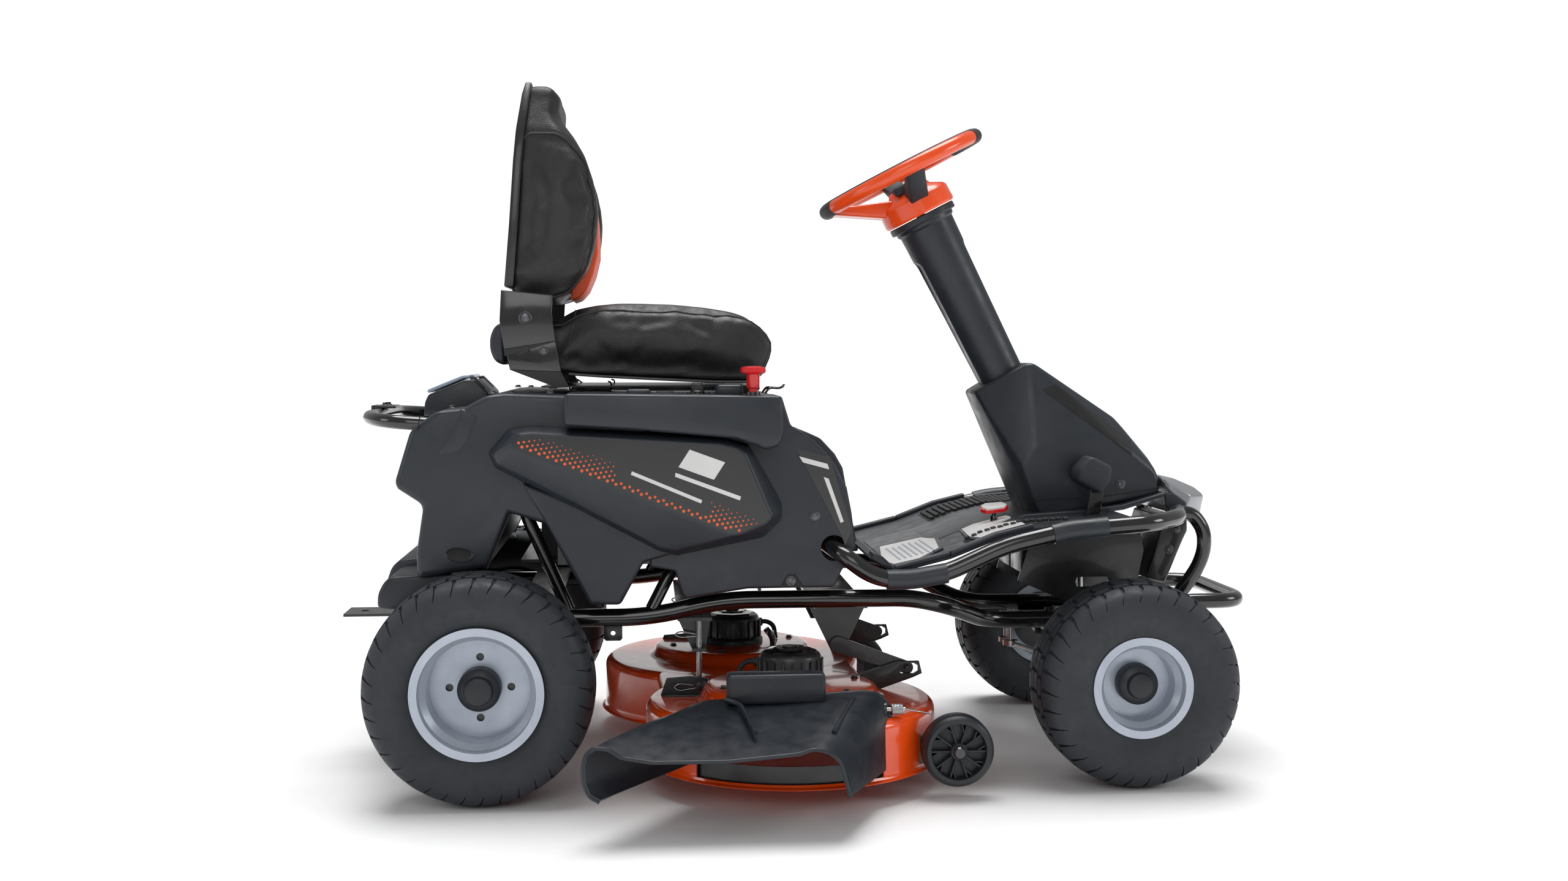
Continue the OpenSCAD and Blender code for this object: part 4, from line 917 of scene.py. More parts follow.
@dataclass
class SidePanel:
    """The faceted hexagonal side panel with its dark film and half-tone dots."""

    out: float = 395.0
    inner: float = 330.5
    shoulder: float = 374.0
    face: tuple[Flat, ...] = (
        (58, 634), (62, 622), (84, 611), (441, 468), (458, 467), (506, 488), (518, 501), (470, 614),
        (454, 624), (422, 631), (94, 651), (72, 649))
    edge: tuple[Flat, ...] = (
        (22, 612), (30, 596), (317, 444), (346, 438), (501, 468), (524, 489), (530, 502), (476, 624),
        (424, 639), (88, 658), (58, 652))
    rim: tuple[Flat, ...] = (
        (10, 614), (22, 586), (314, 431), (348, 424), (506, 456), (540, 490), (540, 520), (478, 628),
        (422, 643), (86, 662), (46, 656))
    lower: tuple[Flat, ...] = (
        (70, 560), (110, 492), (190, 338), (246, 337), (288, 414), (346, 430), (300, 470))
    film: tuple[Flat, ...] = (
        (61, 632), (66, 625), (85, 615), (440, 472), (456, 471), (503, 491), (514, 500), (466, 611),
        (452, 620), (422, 627), (96, 647), (78, 645))
    band: tuple[Flat, ...] = (
        (60, 12), (78, 18), (115, 33), (236, 41), (240, 12), (403, 12), (407, 42), (530, 40))
    pitch: float = 9.3

    def build(self) -> None:
        """Makes both panels with films and dots."""
        points = [(x, self.out, z) for x, z in self.face]
        points += [(x, self.shoulder, z) for x, z in self.edge]
        points += [(x, self.inner, z) for x, z in self.rim]
        panel = Blank().hull(points, 4, 3)
        panel.slab(self.lower, self.inner - 12, self.inner + 13, 7, 3)
        panel.both_sides().done("hex_panels", "chassis", BODY, ["side_panels"], smooth=14)
        film = Blank().slab(self.film, self.out - 2, self.out + 0.4, 0.0)
        film.both_sides().done("hex_panel_films", "chassis", FILM)
        self._dots().both_sides().done("hex_panel_dots", "chassis", DOTS)
        self._blank_plates()

    def _dots(self) -> Blank:
        """Lays hexagonal dots in rows that shrink upwards from the film's lower edge."""
        blank = Blank()
        start, end = Vector((66, 624.5)), Vector((442, 471.5))
        along = (end - start).normalized()
        up = Vector((-along.y, along.x))
        for row in range(10):
            for step in range(-1, 33):
                s = (step + (row % 2) / 2) * self.pitch * math.sqrt(3)
                t = row * self.pitch / 2 + 1.2
                spot = start + along * s + up * t
                reach = self._reach(spot.x)
                size = max(0.9, 3.4 - 2.5 * t / max(reach, 32)) if t < reach else 0
                if size and self._inside(spot, size + 0.6):
                    disc = bmesh.new()
                    bmesh.ops.create_circle(disc, cap_ends=True, segments=6, radius=size)
                    blank.take(disc, across(spot.x, self.out + 0.7, spot.y))
        return blank

    def _reach(self, x: float) -> float:
        """Depth of the dotted band above the film's lower edge."""
        for (x0, r0), (x1, r1) in zip(self.band, self.band[1:]):
            if x0 <= x <= x1:
                return r0 + (r1 - r0) * (x - x0) / (x1 - x0)
        return self.band[0][1]

    def _inside(self, spot: Vector, margin: float) -> bool:
        """Tells whether a dot lies inside the film, clear of its edge."""
        turns = []
        for i, corner in enumerate(self.film):
            a, b = Vector(corner), Vector(self.film[(i + 1) % len(self.film)])
            edge = (b - a).normalized()
            turns.append(edge.x * (spot.y - a.y) - edge.y * (spot.x - a.x))
        return min(turns) > margin

    def _blank_plates(self) -> None:
        """Makes the plain white plates on the film, with nothing on them."""
        plates = Blank()
        y = self.out + 0.4
        plates.slab([(370, 621), (433, 598), (413, 567), (350, 590)], y - 0.4, y + 0.7, 0.3, 1)
        plates.slab([(345, 580), (461, 537), (459, 530), (344, 573)], y - 0.4, y + 0.6, 0.2, 1)
        plates.slab([(268, 583), (392, 531), (390, 525), (266, 577)], y - 0.4, y + 0.6, 0.2, 1)
        plates.both_sides().done("hex_panel_plates", "chassis", LABEL)


@dataclass
class Consoles:
    """The two side consoles, the blade switch, the key and the small buttons."""

    inner: float = 250.0
    outer: float = 400.0
    outline: tuple[Flat, ...] = (
        (149, 664), (277, 656), (451, 640), (488, 628), (503, 619), (529, 626), (536, 642),
        (536, 716), (149, 721))

    def build(self) -> None:
        """Makes both consoles and their controls."""
        for side, word in SIDES:
            box = Blank().slab(self.outline, self.inner, self.outer, 8, 3)
            box.block((420, 288, 712), (468, 348, 735), 6, 3)
            box.block((258, 288, 714), (302, 348, 727), 5, 3)
            box.block((305, 292, 714), (352, 344, 720.5), 2.5)
            if side < 0:
                box.flipped()
            box.done(f"console_box_{word}", "chassis", BODY, [f"console_{word}"])
        self._switch()
        bits = Blank()
        for i, x in enumerate((362, 372, 400, 410)):
            bits.block((x, -318 + i * 2, 716), (x + 7, -306 + i * 2, 721), 1)
        bits.turned([(9, 0), (9, 5), (14, 5), (15, 0)], upright(386, -330, 715), 40)
        bits.turned([(9, 0), (9, 7), (13, 7), (14, 0)], upright(485, -360, 715), 40)
        bits.block((312, 300, 719), (344, 320, 723), 1.5).block((312, -336, 719), (344, -316, 723), 1.5)
        bits.done("console_trim", "chassis", PLATE)

    def _switch(self) -> None:
        """Makes the red pull switch and the key."""
        x, y = 485, -360
        knob = [(0, 769), (14, 768.6), (21, 766.4), (23, 763.5), (23, 758), (21, 755.6), (13, 754),
                (12, 752), (12, 731), (11, 729), (8, 728), (8, 691), (0, 691)]
        Blank().turned(knob, upright(x, y, 0), 56).done("pull_switch", "blade_switch", RED,
                                                        ["blade_switch_knob"], smooth=28)
        key = Blank().turned([(0, 700), (4, 700), (4, 720.8), (13, 720.8), (13, 723), (11.5, 724.5),
                              (0, 724.5)], upright(386, -330, 0), 40)
        key.slab([(375, 723), (375, 735), (378, 739), (394, 739), (397, 735), (397, 723)],
                 -333, -327, 1.6)
        key.done("start_key", "key", PLATE, ["ignition_key"])


# ---- cowl, column, wheel and lamp ----


@dataclass
class Cowl:
    """The tapered front cowl round the column's foot."""

    def build(self) -> None:
        """Makes the cowl, its side plates and its bolts."""
        f = FRONT_X
        spine = [(f - 36, 481), (f + 40, 489), (f + 126, 512), (f + 130, 545),
                 (f + 113, 581), (f + 43, 663), (f - 119, 771), (f - 133, 774)]
        nose = [(f - 237, 715), (f - 146, 520), (f - 128, 470)]
        flank = [(f - 118, 470), (f - 36, 481), (f + 126, 512), (f + 118, 556), (f + 26, 626),
                 (f - 128, 604), (f - 152, 566)]
        points = [(x, s * 80, z) for s in (-1, 1) for x, z in spine]
        points += [(x, s * 52, z) for s in (-1, 1) for x, z in nose]
        points += [(x, s * 122, z) for s in (-1, 1) for x, z in flank]
        cowl = Blank().hull(points, 13, 4)
        plate = Blank().slab([(f - 107, 720), (f - 80, 730), (f + 69, 618), (f + 66, 590)], -1, 0)
        cuts = [e for e in plate.bm.edges if e.calc_length() > 20]
        bmesh.ops.subdivide_edges(plate.bm, edges=cuts, cuts=14, use_grid_fill=True)
        plate.only(lambda c, n: n.y < -0.5)
        plate.laid_on(cowl, (0, 1, 0), 0.9)
        bmesh.ops.triangulate(plate.bm, faces=plate.bm.faces)
        plate.both_sides().done("cowl_side_films", "chassis", FILM, smooth=60)
        bolts = Blank().bolt((f + 45, 122, 532), (0, 1, 0), 7.5)
        bolts.both_sides().done("cowl_bolts", "chassis", BOLT)
        seam = Blank().slab([(f - 140, 500), (f + 16, 508), (f + 126, 524), (f + 126, 526),
                             (f + 16, 510), (f - 140, 502)], 121.4, 122.5)
        seam.both_sides().done("cowl_gap_line", "chassis", JOINT_BLACK_AND_PAINTED_SHADE)
        cowl.done("cowl_cover", "chassis", BODY, ["cowl"], smooth=40)
        skirt = Blank().slab([(f - 176, 468), (f - 152, 476), (f - 30, 484), (f + 44, 494),
                              (f + 128, 518), (f + 134, 512), (f + 46, 484), (f - 30, 474)],
                             -146, 146, 3)
        skirt.done("cowl_foot_flange", "chassis", BODY)


@dataclass
class Column:
    """The leaning steering column with its collar and moulded recess."""

    radius: float = 57.0
    foot: float = -505.0
    top: float = -93.0

    def axis(self) -> Matrix:
        """The column's own axes: z up along the column, the steering wheel's middle at 0."""
        joint = next(j for j in frame["joints"] if j["name"] == "steering_turn")
        way = Vector(joint["axis"]).normalized()
        centre = DATUM.matrix().inverted() @ Vector(joint["pos_m"])
        return Matrix.Translation(centre) @ way.to_track_quat("Z", "Y").to_matrix().to_4x4()

    def build(self) -> None:
        """Makes the column's cover."""
        r, t = self.radius, self.top
        profile = [(0, t), (r + 11, t), (r + 13, t - 2), (r + 13, t - 12), (r + 11, t - 14),
                   (r + 5, t - 14.5), (r + 4, t - 21), (r + 2, t - 23), (r, t - 25),
                   (r - 9, self.foot + 60), (r - 10, self.foot), (0, self.foot)]
        cover = Blank().turned(profile, Matrix.Identity(4), 96)
        recess = Blank().block((-32, -90, -560), (32, -44, -172), 17, 6)
        recess.block((-32, 44, -560), (32, 90, -172), 17, 6)
        place = self.axis()
        shaped = Blank().take(carved(cover, recess), place)
        shaped.done("column_shroud", "chassis", BODY, ["column_cover"], smooth=34)


@dataclass
class SteeringWheel:
    """An orange and black wheel with three spokes and a stepped hub."""

    ring: float = 166.0
    grip: float = 14.0

    def build(self) -> None:
        """Makes the wheel, its grips, spokes, hub and shaft."""
        place = Column().axis()
        face = self._front_first(place)
        for name, start, turn, finish, extra in (
                ("wheel_ring_left", 32, 128, WHEEL_ORANGE, 0),
                ("wheel_ring_right", 200, 128, WHEEL_ORANGE, 0),
                ("wheel_grip_rear", 159, 42, PEDAL, 0.8), ("wheel_grip_front", -33, 66, PEDAL, 0.8)):
            ring = Blank()
            circle = [(self.ring + (self.grip + extra) * math.cos(math.tau * i / 28),
                       (self.grip + extra) * math.sin(math.tau * i / 28)) for i in range(28)]
            spin = face @ Matrix.Rotation(math.radians(start), 4, "Z")
            ring.turned(circle, spin, 48, turn)
            ring.done(name, "steering", finish, ["steering_wheel"], smooth=50)
        bead = [(self.ring - 2 + 7 * math.cos(math.tau * i / 16), 9 + 7 * math.sin(math.tau * i / 16))
                for i in range(16)]
        Blank().turned(bead, face, 144).done("wheel_top_bead", "steering", PEDAL, smooth=50)
        self._hub(face)
        self._spokes(face)

    def _front_first(self, place: Matrix) -> Matrix:
        """Turns the wheel's axes so that local x points forward."""
        up = place.to_quaternion() @ Vector((0, 0, 1))
        side = Vector((0, 1, 0))
        ahead = side.cross(up).normalized()
        basis = Matrix((ahead, side, up)).transposed().to_4x4()
        return Matrix.Translation(place.to_translation()) @ basis

    def _hub(self, place: Matrix) -> None:
        """Makes the hub and the shaft below it."""
        hub = Blank().turned([(0, -24), (30, -25), (40, -29), (46, -40), (70, -52), (74, -58),
                              (75, -87), (72, -91.5), (0, -91.5)], place, 72)
        hub.done("wheel_hub", "steering", WHEEL_ORANGE, smooth=30)
        cap = Blank().turned([(0, -19), (24, -20), (29, -23), (30, -28), (0, -28)], place, 48)
        cap.done("wheel_hub_cap", "steering", PEDAL, smooth=30)
        shaft = Blank().turned([(0, -78), (9.5, -78), (9.5, -790), (14, -800), (14, -826), (0, -832)],
                               place, 40)
        shaft.done("steering_shaft", "steering", STEEL, smooth=30)

    def _spokes(self, place: Matrix) -> None:
        """Makes the broad rear spoke and the two black side spokes."""
        section = [(38, -60), (38, -42), (150, -2), (162, 7), (168, -3), (158, -14), (70, -66)]
        turn = place @ Matrix.Rotation(math.pi, 4, "Z")
        rear = Blank().slab(section, -30, 30, 5, 3, place=turn)
        rear.slab([(70, -44), (140, -12), (140, -6), (70, -36)], -13, 13, 3, 2, place=turn)
        rear.done("wheel_spoke_rear", "steering", WHEEL_ORANGE, smooth=35)
        sides = Blank()
        for angle in (90, 270):
            turn = place @ Matrix.Rotation(math.radians(angle), 4, "Z")
            sides.slab(section, -20, 20, 5, 3, place=turn)
        sides.block((-34, -46, -40), (34, 46, -20), 7, 3, place=place)
        sides.done("wheel_spokes_side", "steering", PEDAL, smooth=35)


@dataclass
class Lamp:
    """The headlight with its housing and the grille plate below."""

    def build(self) -> None:
        """Makes the lens, the housing shoulders and the grille plate's details."""
        f = FRONT_X
        upper = [(f + 130, 549), (f + 160, 542), (f + 202, 524), (f + 222, 508)]
        points = [(x, y, z) for x, z in upper for y in (-100, 100)]
        corners = ((128, 136, 541), (182, 140, 512), (172, 142, 474), (160, 120, 470),
                   (229, 40, 491), (223, 52, 467), (217, 92, 470))
        points += [(f + ahead, s * y, z) for ahead, y, z in corners for s in (-1, 1)]
        Blank().hull(points, 5, 3).done("lamp_glass", "chassis", LENS, ["headlight_lens"], smooth=34)
        cheek = [(f + 128, 519), (f + 150, 513), (f + 172, 498), (f + 170, 468), (f + 158, 464),
                 (f + 128, 492)]
        Blank().slab(cheek, 134, 147, 4).both_sides().done("lamp_cheeks", "chassis", BODY)
        strip = Blank().slab([(f + 220, 474), (f + 230.5, 490), (f + 228, 493), (f + 218, 478)],
                             -46, 46, 1)
        strip.done("lamp_strip", "chassis", LABEL)
        grille = [(f + 105, 342), (f + 143, 332), (f + 179, 419), (f + 188, 437), (f + 187, 463),
                  (f + 140, 466)]
        Blank().slab(grille, -105, 105, 5, 3).done("grille_plate", "chassis", PLATE, ["front_grille"])
        # The slots are not cut: near-black bars on the grille plate paint the shade inside them.
        slots = Blank()
        for i in range(7):
            share = i / 6
            x, z = f + 150 + share * 30, 352 + share * 72
            slots.block((x - 4, -84, z - 3), (x + 4, 84, z + 2), 1.5)
        slots.done("grille_slots_painted_shade", "chassis", JOINT_BLACK_AND_PAINTED_SHADE)
        bolts = Blank().bolt((f + 150, 105, 400), (0, 1, 0), 7).bolt((f + 165, 105, 440), (0, 1, 0), 6)
        bolts.both_sides().done("grille_bolts", "chassis", BOLT)


# ---- footwell and controls ----


@dataclass
class Footwell:
    """The moulded footplate with mats, labels, rail clips and tread strips."""

    half: float = 345.0

    def build(self) -> None:
        """Makes the plate's surface pieces."""
        f = FRONT_X
        line = [(690, 430), (745, 394), (849, 420), (f - 253, 453), (f - 182, 470), (f - 36, 478),
                (f + 18, 484)]
        lips = Blank()
        for run in (line[1:3], line[2:5]):
            strip = [(x, z + 9) for x, z in run] + [(x, z - 2) for x, z in reversed(run)]
            lips.slab(strip, 322, 344, 3.5, 3)
        lips.slab([(706, 428), (724, 420), (748, 398), (742, 392), (700, 416)], 300, 346, 3)
        lips.both_sides().done("footplate_lips", "chassis", BODY)
        top = Blank()
        for run in (line[1:3], line[2:5]):
            strip = [(x + 4, z + 3) for x, z in run] + [(x + 4, z - 1) for x, z in reversed(run)]
            top.slab(strip, -120, 120, 1.2)
        top.done("footplate_middle", "chassis", GREY_TOP)
        wraps = Blank()
        wraps.tube([(728, 365, 381), (772, 365, 381), (838, 365, 392)], 18.6, 20)
        wraps.tube([(f - 152, 365, 461), (f - 120, 365, 468), (f - 50, 365, 474)], 18.8, 20)
        wraps.slab([(f - 158, 474), (f - 50, 483), (f - 46, 476), (f - 150, 462)], 330, 366, 3)
        wraps.both_sides().done("rail_clips", "chassis", BODY)
        self._mats(line)
        self._labels(line)

    def _height(self, x: float, line: Sequence[Flat]) -> float:
        """Height of the plate's top at a place along the machine."""
        for (x0, z0), (x1, z1) in zip(line, line[1:]):
            if x0 <= x <= x1:
                return z0 + (z1 - z0) * (x - x0) / (x1 - x0)
        return line[-1][1]

    def _mats(self, line: Sequence[Flat]) -> None:
        """Makes the rubber tread mats from rows of small raised blocks."""
        mats = Blank()
        for row in range(16):
            x = 898 + row * 12.4
            z = self._height(x, line)
            slope = self._height(x + 6, line) - self._height(x - 6, line)
            tilt = Matrix.Rotation(-math.atan2(slope, 12), 4, "Y")
            for column in range(8):
                y = 134 + column * 17 + (row % 2) * 6
                for across_y in (y, -y) if column > 6 else (y,):
                    place = Matrix.Translation((x, across_y, z + 2.5)) @ tilt
                    mats.block((-4.6, -6.6, -3.4), (4.6, 6.6, 5.2), 1.1, 1, place=place)
        bed = [(x, self._height(x, line) + 1.5) for x in (890, 933, 1004, 1092)]
        sheet = bed + [(x, z - 2.4) for x, z in reversed(bed)]
        mats.slab(sheet, 124, 270, 0.8).slab(sheet, -270, -245, 0.8)
        mats.done("tread_mats", "chassis", MAT)

    def _labels(self, line: Sequence[Flat]) -> None:
        """Makes the blank white label plates in their raised frames, with grey bars."""
        labels, marks, frames = Blank(), Blank(), Blank()
        hexagon = ((740, -215), (762, -35), (842, -52), (858, -120), (846, -236), (797, -300),
                   (752, -290))
        split = ((902, -252), (909, -137), (998, -128), (1001, -160), (960, -200), (1000, -230),
                 (998, -300), (914, -306))
        for plan, grown in ((hexagon, 1.14), (split, 1.08)):
            middle = Vector((sum(x for x, _ in plan), sum(y for _, y in plan))) / len(plan)
            frames.take(self._sheet(plan, line, 3.4, middle, grown))
            labels.take(self._sheet(plan, line, 4.6, middle, 1.0))
        for i in range(7):
            x = 768 + i * 11
            z = self._height(x, line)
            tilt = Matrix.Rotation(-math.atan2(self._height(x + 4, line) - z, 4), 4, "Y")
            marks.block((-1.6, -92, -0.4), (1.6, 88 - 10 * (i % 3), 0.6),
                        place=Matrix.Translation((x, -168, z + 5.4)) @ tilt)
        frames.done("footwell_label_frames", "chassis", BODY)
        labels.done("footwell_labels", "chassis", LABEL)
        marks.done("footwell_label_bars", "chassis", RIM)

    def _sheet(self, plan: Sequence[Flat], line: Sequence[Flat], lift: float, middle: Vector,
               grown: float) -> bmesh.types.BMesh:
        """Lays a flat outline on the plate.

        Args:
            plan: Corners seen from above.
            line: The plate's height line.
            lift: Height of the sheet's top above the plate.
            middle: Where the outline grows from.
            grown: How much larger than the plan it is.

        Returns:
            The sheet, walled downwards.
        """
        sheet = bmesh.new()
        spots = [middle + (Vector(corner) - middle) * grown for corner in plan]
        face = sheet.faces.new([sheet.verts.new((p.x, p.y, 0)) for p in spots])
        bmesh.ops.triangulate(sheet, faces=[face])
        for x, _ in line[1:-1]:
            bmesh.ops.bisect_plane(sheet, geom=sheet.verts[:] + sheet.edges[:] + sheet.faces[:],
                                   plane_co=(x, 0, 0), plane_no=(1, 0, 0), dist=0.001)
        for vert in sheet.verts:
            vert.co.z = self._height(vert.co.x, line) + lift
        bmesh.ops.recalc_face_normals(sheet, faces=sheet.faces)
        if sum(f.normal.z for f in sheet.faces) < 0:
            bmesh.ops.reverse_faces(sheet, faces=sheet.faces)
        bmesh.ops.solidify(sheet, geom=sheet.faces[:], thickness=3.6)
        return sheet


@dataclass
class Controls:
    """Pedals with ribbed pads and the red parking lever."""

    def build(self) -> None:
        """Makes both pedals and the lever."""
        f = FRONT_X
        low = DATUM.low("drive_pedal")
        y0, y1 = low.y, low.y + 64
        pad = [(f - 62, 545), (f - 17, 519), (f + 4, 545), (f + 7, 573), (f - 36, 594), (f - 60, 567)]
        drive = Blank().slab(pad, y0, y1, 8, 3)
        self._ribs(drive, (f - 60, 548), (f - 38, 590), y0 + 8, y1 - 8)
        drive.done("drive_pedal_pad", "drive_pedal_body", PEDAL, ["drive_pedal"])
        self._arm("drive", (y0 + y1) / 2)
        low = DATUM.low("brake_pedal")
        y0, y1 = low.y, low.y + 60
        pad = [(f - 52, 540), (f - 14, 519), (f - 2, 531), (f - 40, 556)]
        brake = Blank().slab(pad, y0, y1, 4, 3)
        self._ribs(brake, (f - 54, 545), (f - 40, 556), y0 + 6, y1 - 6)
        brake.done("brake_pedal_pad", "brake_pedal_body", PEDAL, ["brake_pedal"])
        self._arm("brake", (y0 + y1) / 2)
        self._lever()

    def _arm(self, word: str, middle: float) -> None:
        """Makes a pedal's arm with its pivot boss.

        Args:
            word: Which pedal, "drive" or "brake".
            middle: The arm's place across the machine.
        """
        f = FRONT_X
        side = [(f - 42, 446), (f - 18, 446), (f - 8, 490), (f - 2, 534), (f - 28, 536), (f - 36, 488)]
        arm = Blank().slab(side, middle - 5, middle + 5, 1.5)
        arm.rod((f - 32, middle - 14, 452), (f - 32, middle + 14, 452), 12, edge=1)
        arm.done(f"{word}_pedal_arm", f"{word}_pedal_body", TUBE)

    def _ribs(self, pad: Blank, start: Flat, end: Flat, y0: float, y1: float) -> None:
        """Adds staggered studs to a pad's face, from start to end."""
        run = Vector(end) - Vector(start)
        tilt = Matrix.Rotation(-math.atan2(run.y, run.x), 4, "Y")
        rows = max(2, int(run.length / 7))
        for i in range(rows):
            spot = Vector(start) + run * (i + 0.5) / rows
            for k in range(int((y1 - y0) / 9)):
                y = y0 + 4.5 + k * 9 + (i % 2) * 3
                place = Matrix.Translation((spot.x, y, spot.y)) @ tilt
                pad.block((-2.2, -3.2, -2.5), (2.2, 3.2, 2.5), 0.8, 1, place=place)

    def _lever(self) -> None:
        """Makes the red-topped parking lever."""
        low, high = DATUM.low("parking_brake_lever"), DATUM.high("parking_brake_lever")
        x, y = (low.x + high.x) / 2, (low.y + high.y) / 2
        plan = [(-27, -4), (-18, -15), (20, -13), (28, -2), (20, 12), (-16, 14), (-27, 6)]
        rim = [(x + dx, y + dy, 486 + 0.1 * dx + 0.35 * dy + h) for dx, dy in plan for h in (0, 7)]
        rim += [(x + 0.6 * dx, y + 0.6 * dy, 482) for dx, dy in plan]
        Blank().hull(rim, 1.6, 3).done("parking_lever_grip", "parking_brake", RED,
                                       ["parking_brake_lever"])
        top = [(x + 0.9 * dx, y + 0.9 * dy, 492 + 0.09 * dx + 0.32 * dy + h)
               for dx, dy in plan for h in (0, 4)]
        Blank().hull(top, 1.0, 2).done("parking_lever_top", "parking_brake", LABEL)
        stem = Blank().rod((x, y, 404), (x, y, 486), 4.5).rod((x, y, 446), (x, y, 476), 8, 7, edge=1)
        stem.rod((x, y - 9, 400), (x, y + 9, 400), 9, edge=1)
        stem.done("parking_lever_stem", "parking_brake", TUBE)


# ---- seat ----


@dataclass(frozen=True)
class Stuffing:
    """How a padded piece is swollen: voxel size, farthest move and cloth pressure."""

    voxel: float = 0.006
    reach: float = 0.016
    pressure: float = 4.0
    frames: int = 20

    def fill(self, blank: Blank) -> Blank:
        """Swells a closed workpiece like a stuffed cushion.

        Args:
            blank: The cushion's slightly smaller starting shape.

        Returns:
            The same workpiece with its swollen mesh.
        """
        bmesh.ops.transform(blank.bm, matrix=DATUM.matrix(), verts=blank.bm.verts)
        mesh = bpy.data.meshes.new("pad")
        blank.bm.to_mesh(mesh)
        pad = bpy.data.objects.new("pad", mesh)
        bpy.context.scene.collection.objects.link(pad)
        remesh = pad.modifiers.new("even", "REMESH")
        remesh.mode = "VOXEL"
        remesh.voxel_size = self.voxel
        pad.data = self._baked(pad)
        pad.modifiers.clear()
        rest = [v.co.copy() for v in pad.data.vertices]
        self._swell(pad)
        swollen = self._baked(pad)
        for vert, start, home in zip(swollen.vertices, rest, pad.data.vertices):
            move = vert.co - start
            limit = self.reach * (0.25 if home.normal.z < -0.6 else 1.0)
            if move.length > limit:
                vert.co = start + move.normalized() * limit
        blank.bm.clear()
        blank.bm.from_mesh(swollen)
        bpy.data.objects.remove(pad)
        for _ in range(3):
            bmesh.ops.smooth_vert(blank.bm, verts=blank.bm.verts, factor=0.5, use_axis_x=True,
                                  use_axis_y=True, use_axis_z=True)
        bmesh.ops.transform(blank.bm, matrix=DATUM.matrix().inverted(), verts=blank.bm.verts)
        return blank

    def _baked(self, pad: bpy.types.Object) -> bpy.types.Mesh:
        """A copy of the mesh with its modifiers applied."""
        bpy.context.view_layer.update()
        shaped = pad.evaluated_get(bpy.context.evaluated_depsgraph_get())
        return bpy.data.meshes.new_from_object(shaped)

    def _swell(self, pad: bpy.types.Object) -> None:
        """Runs the cloth under pressure without gravity."""
        cloth = pad.modifiers.new("swell", "CLOTH")
        cloth.settings.use_pressure = True
        cloth.settings.uniform_pressure_force = self.pressure
        cloth.settings.effector_weights.gravity = 0
        cloth.settings.quality = 4
        cloth.point_cache.frame_start = 1
        cloth.point_cache.frame_end = self.frames
        for number in range(1, self.frames + 1):
            bpy.context.scene.frame_set(number)


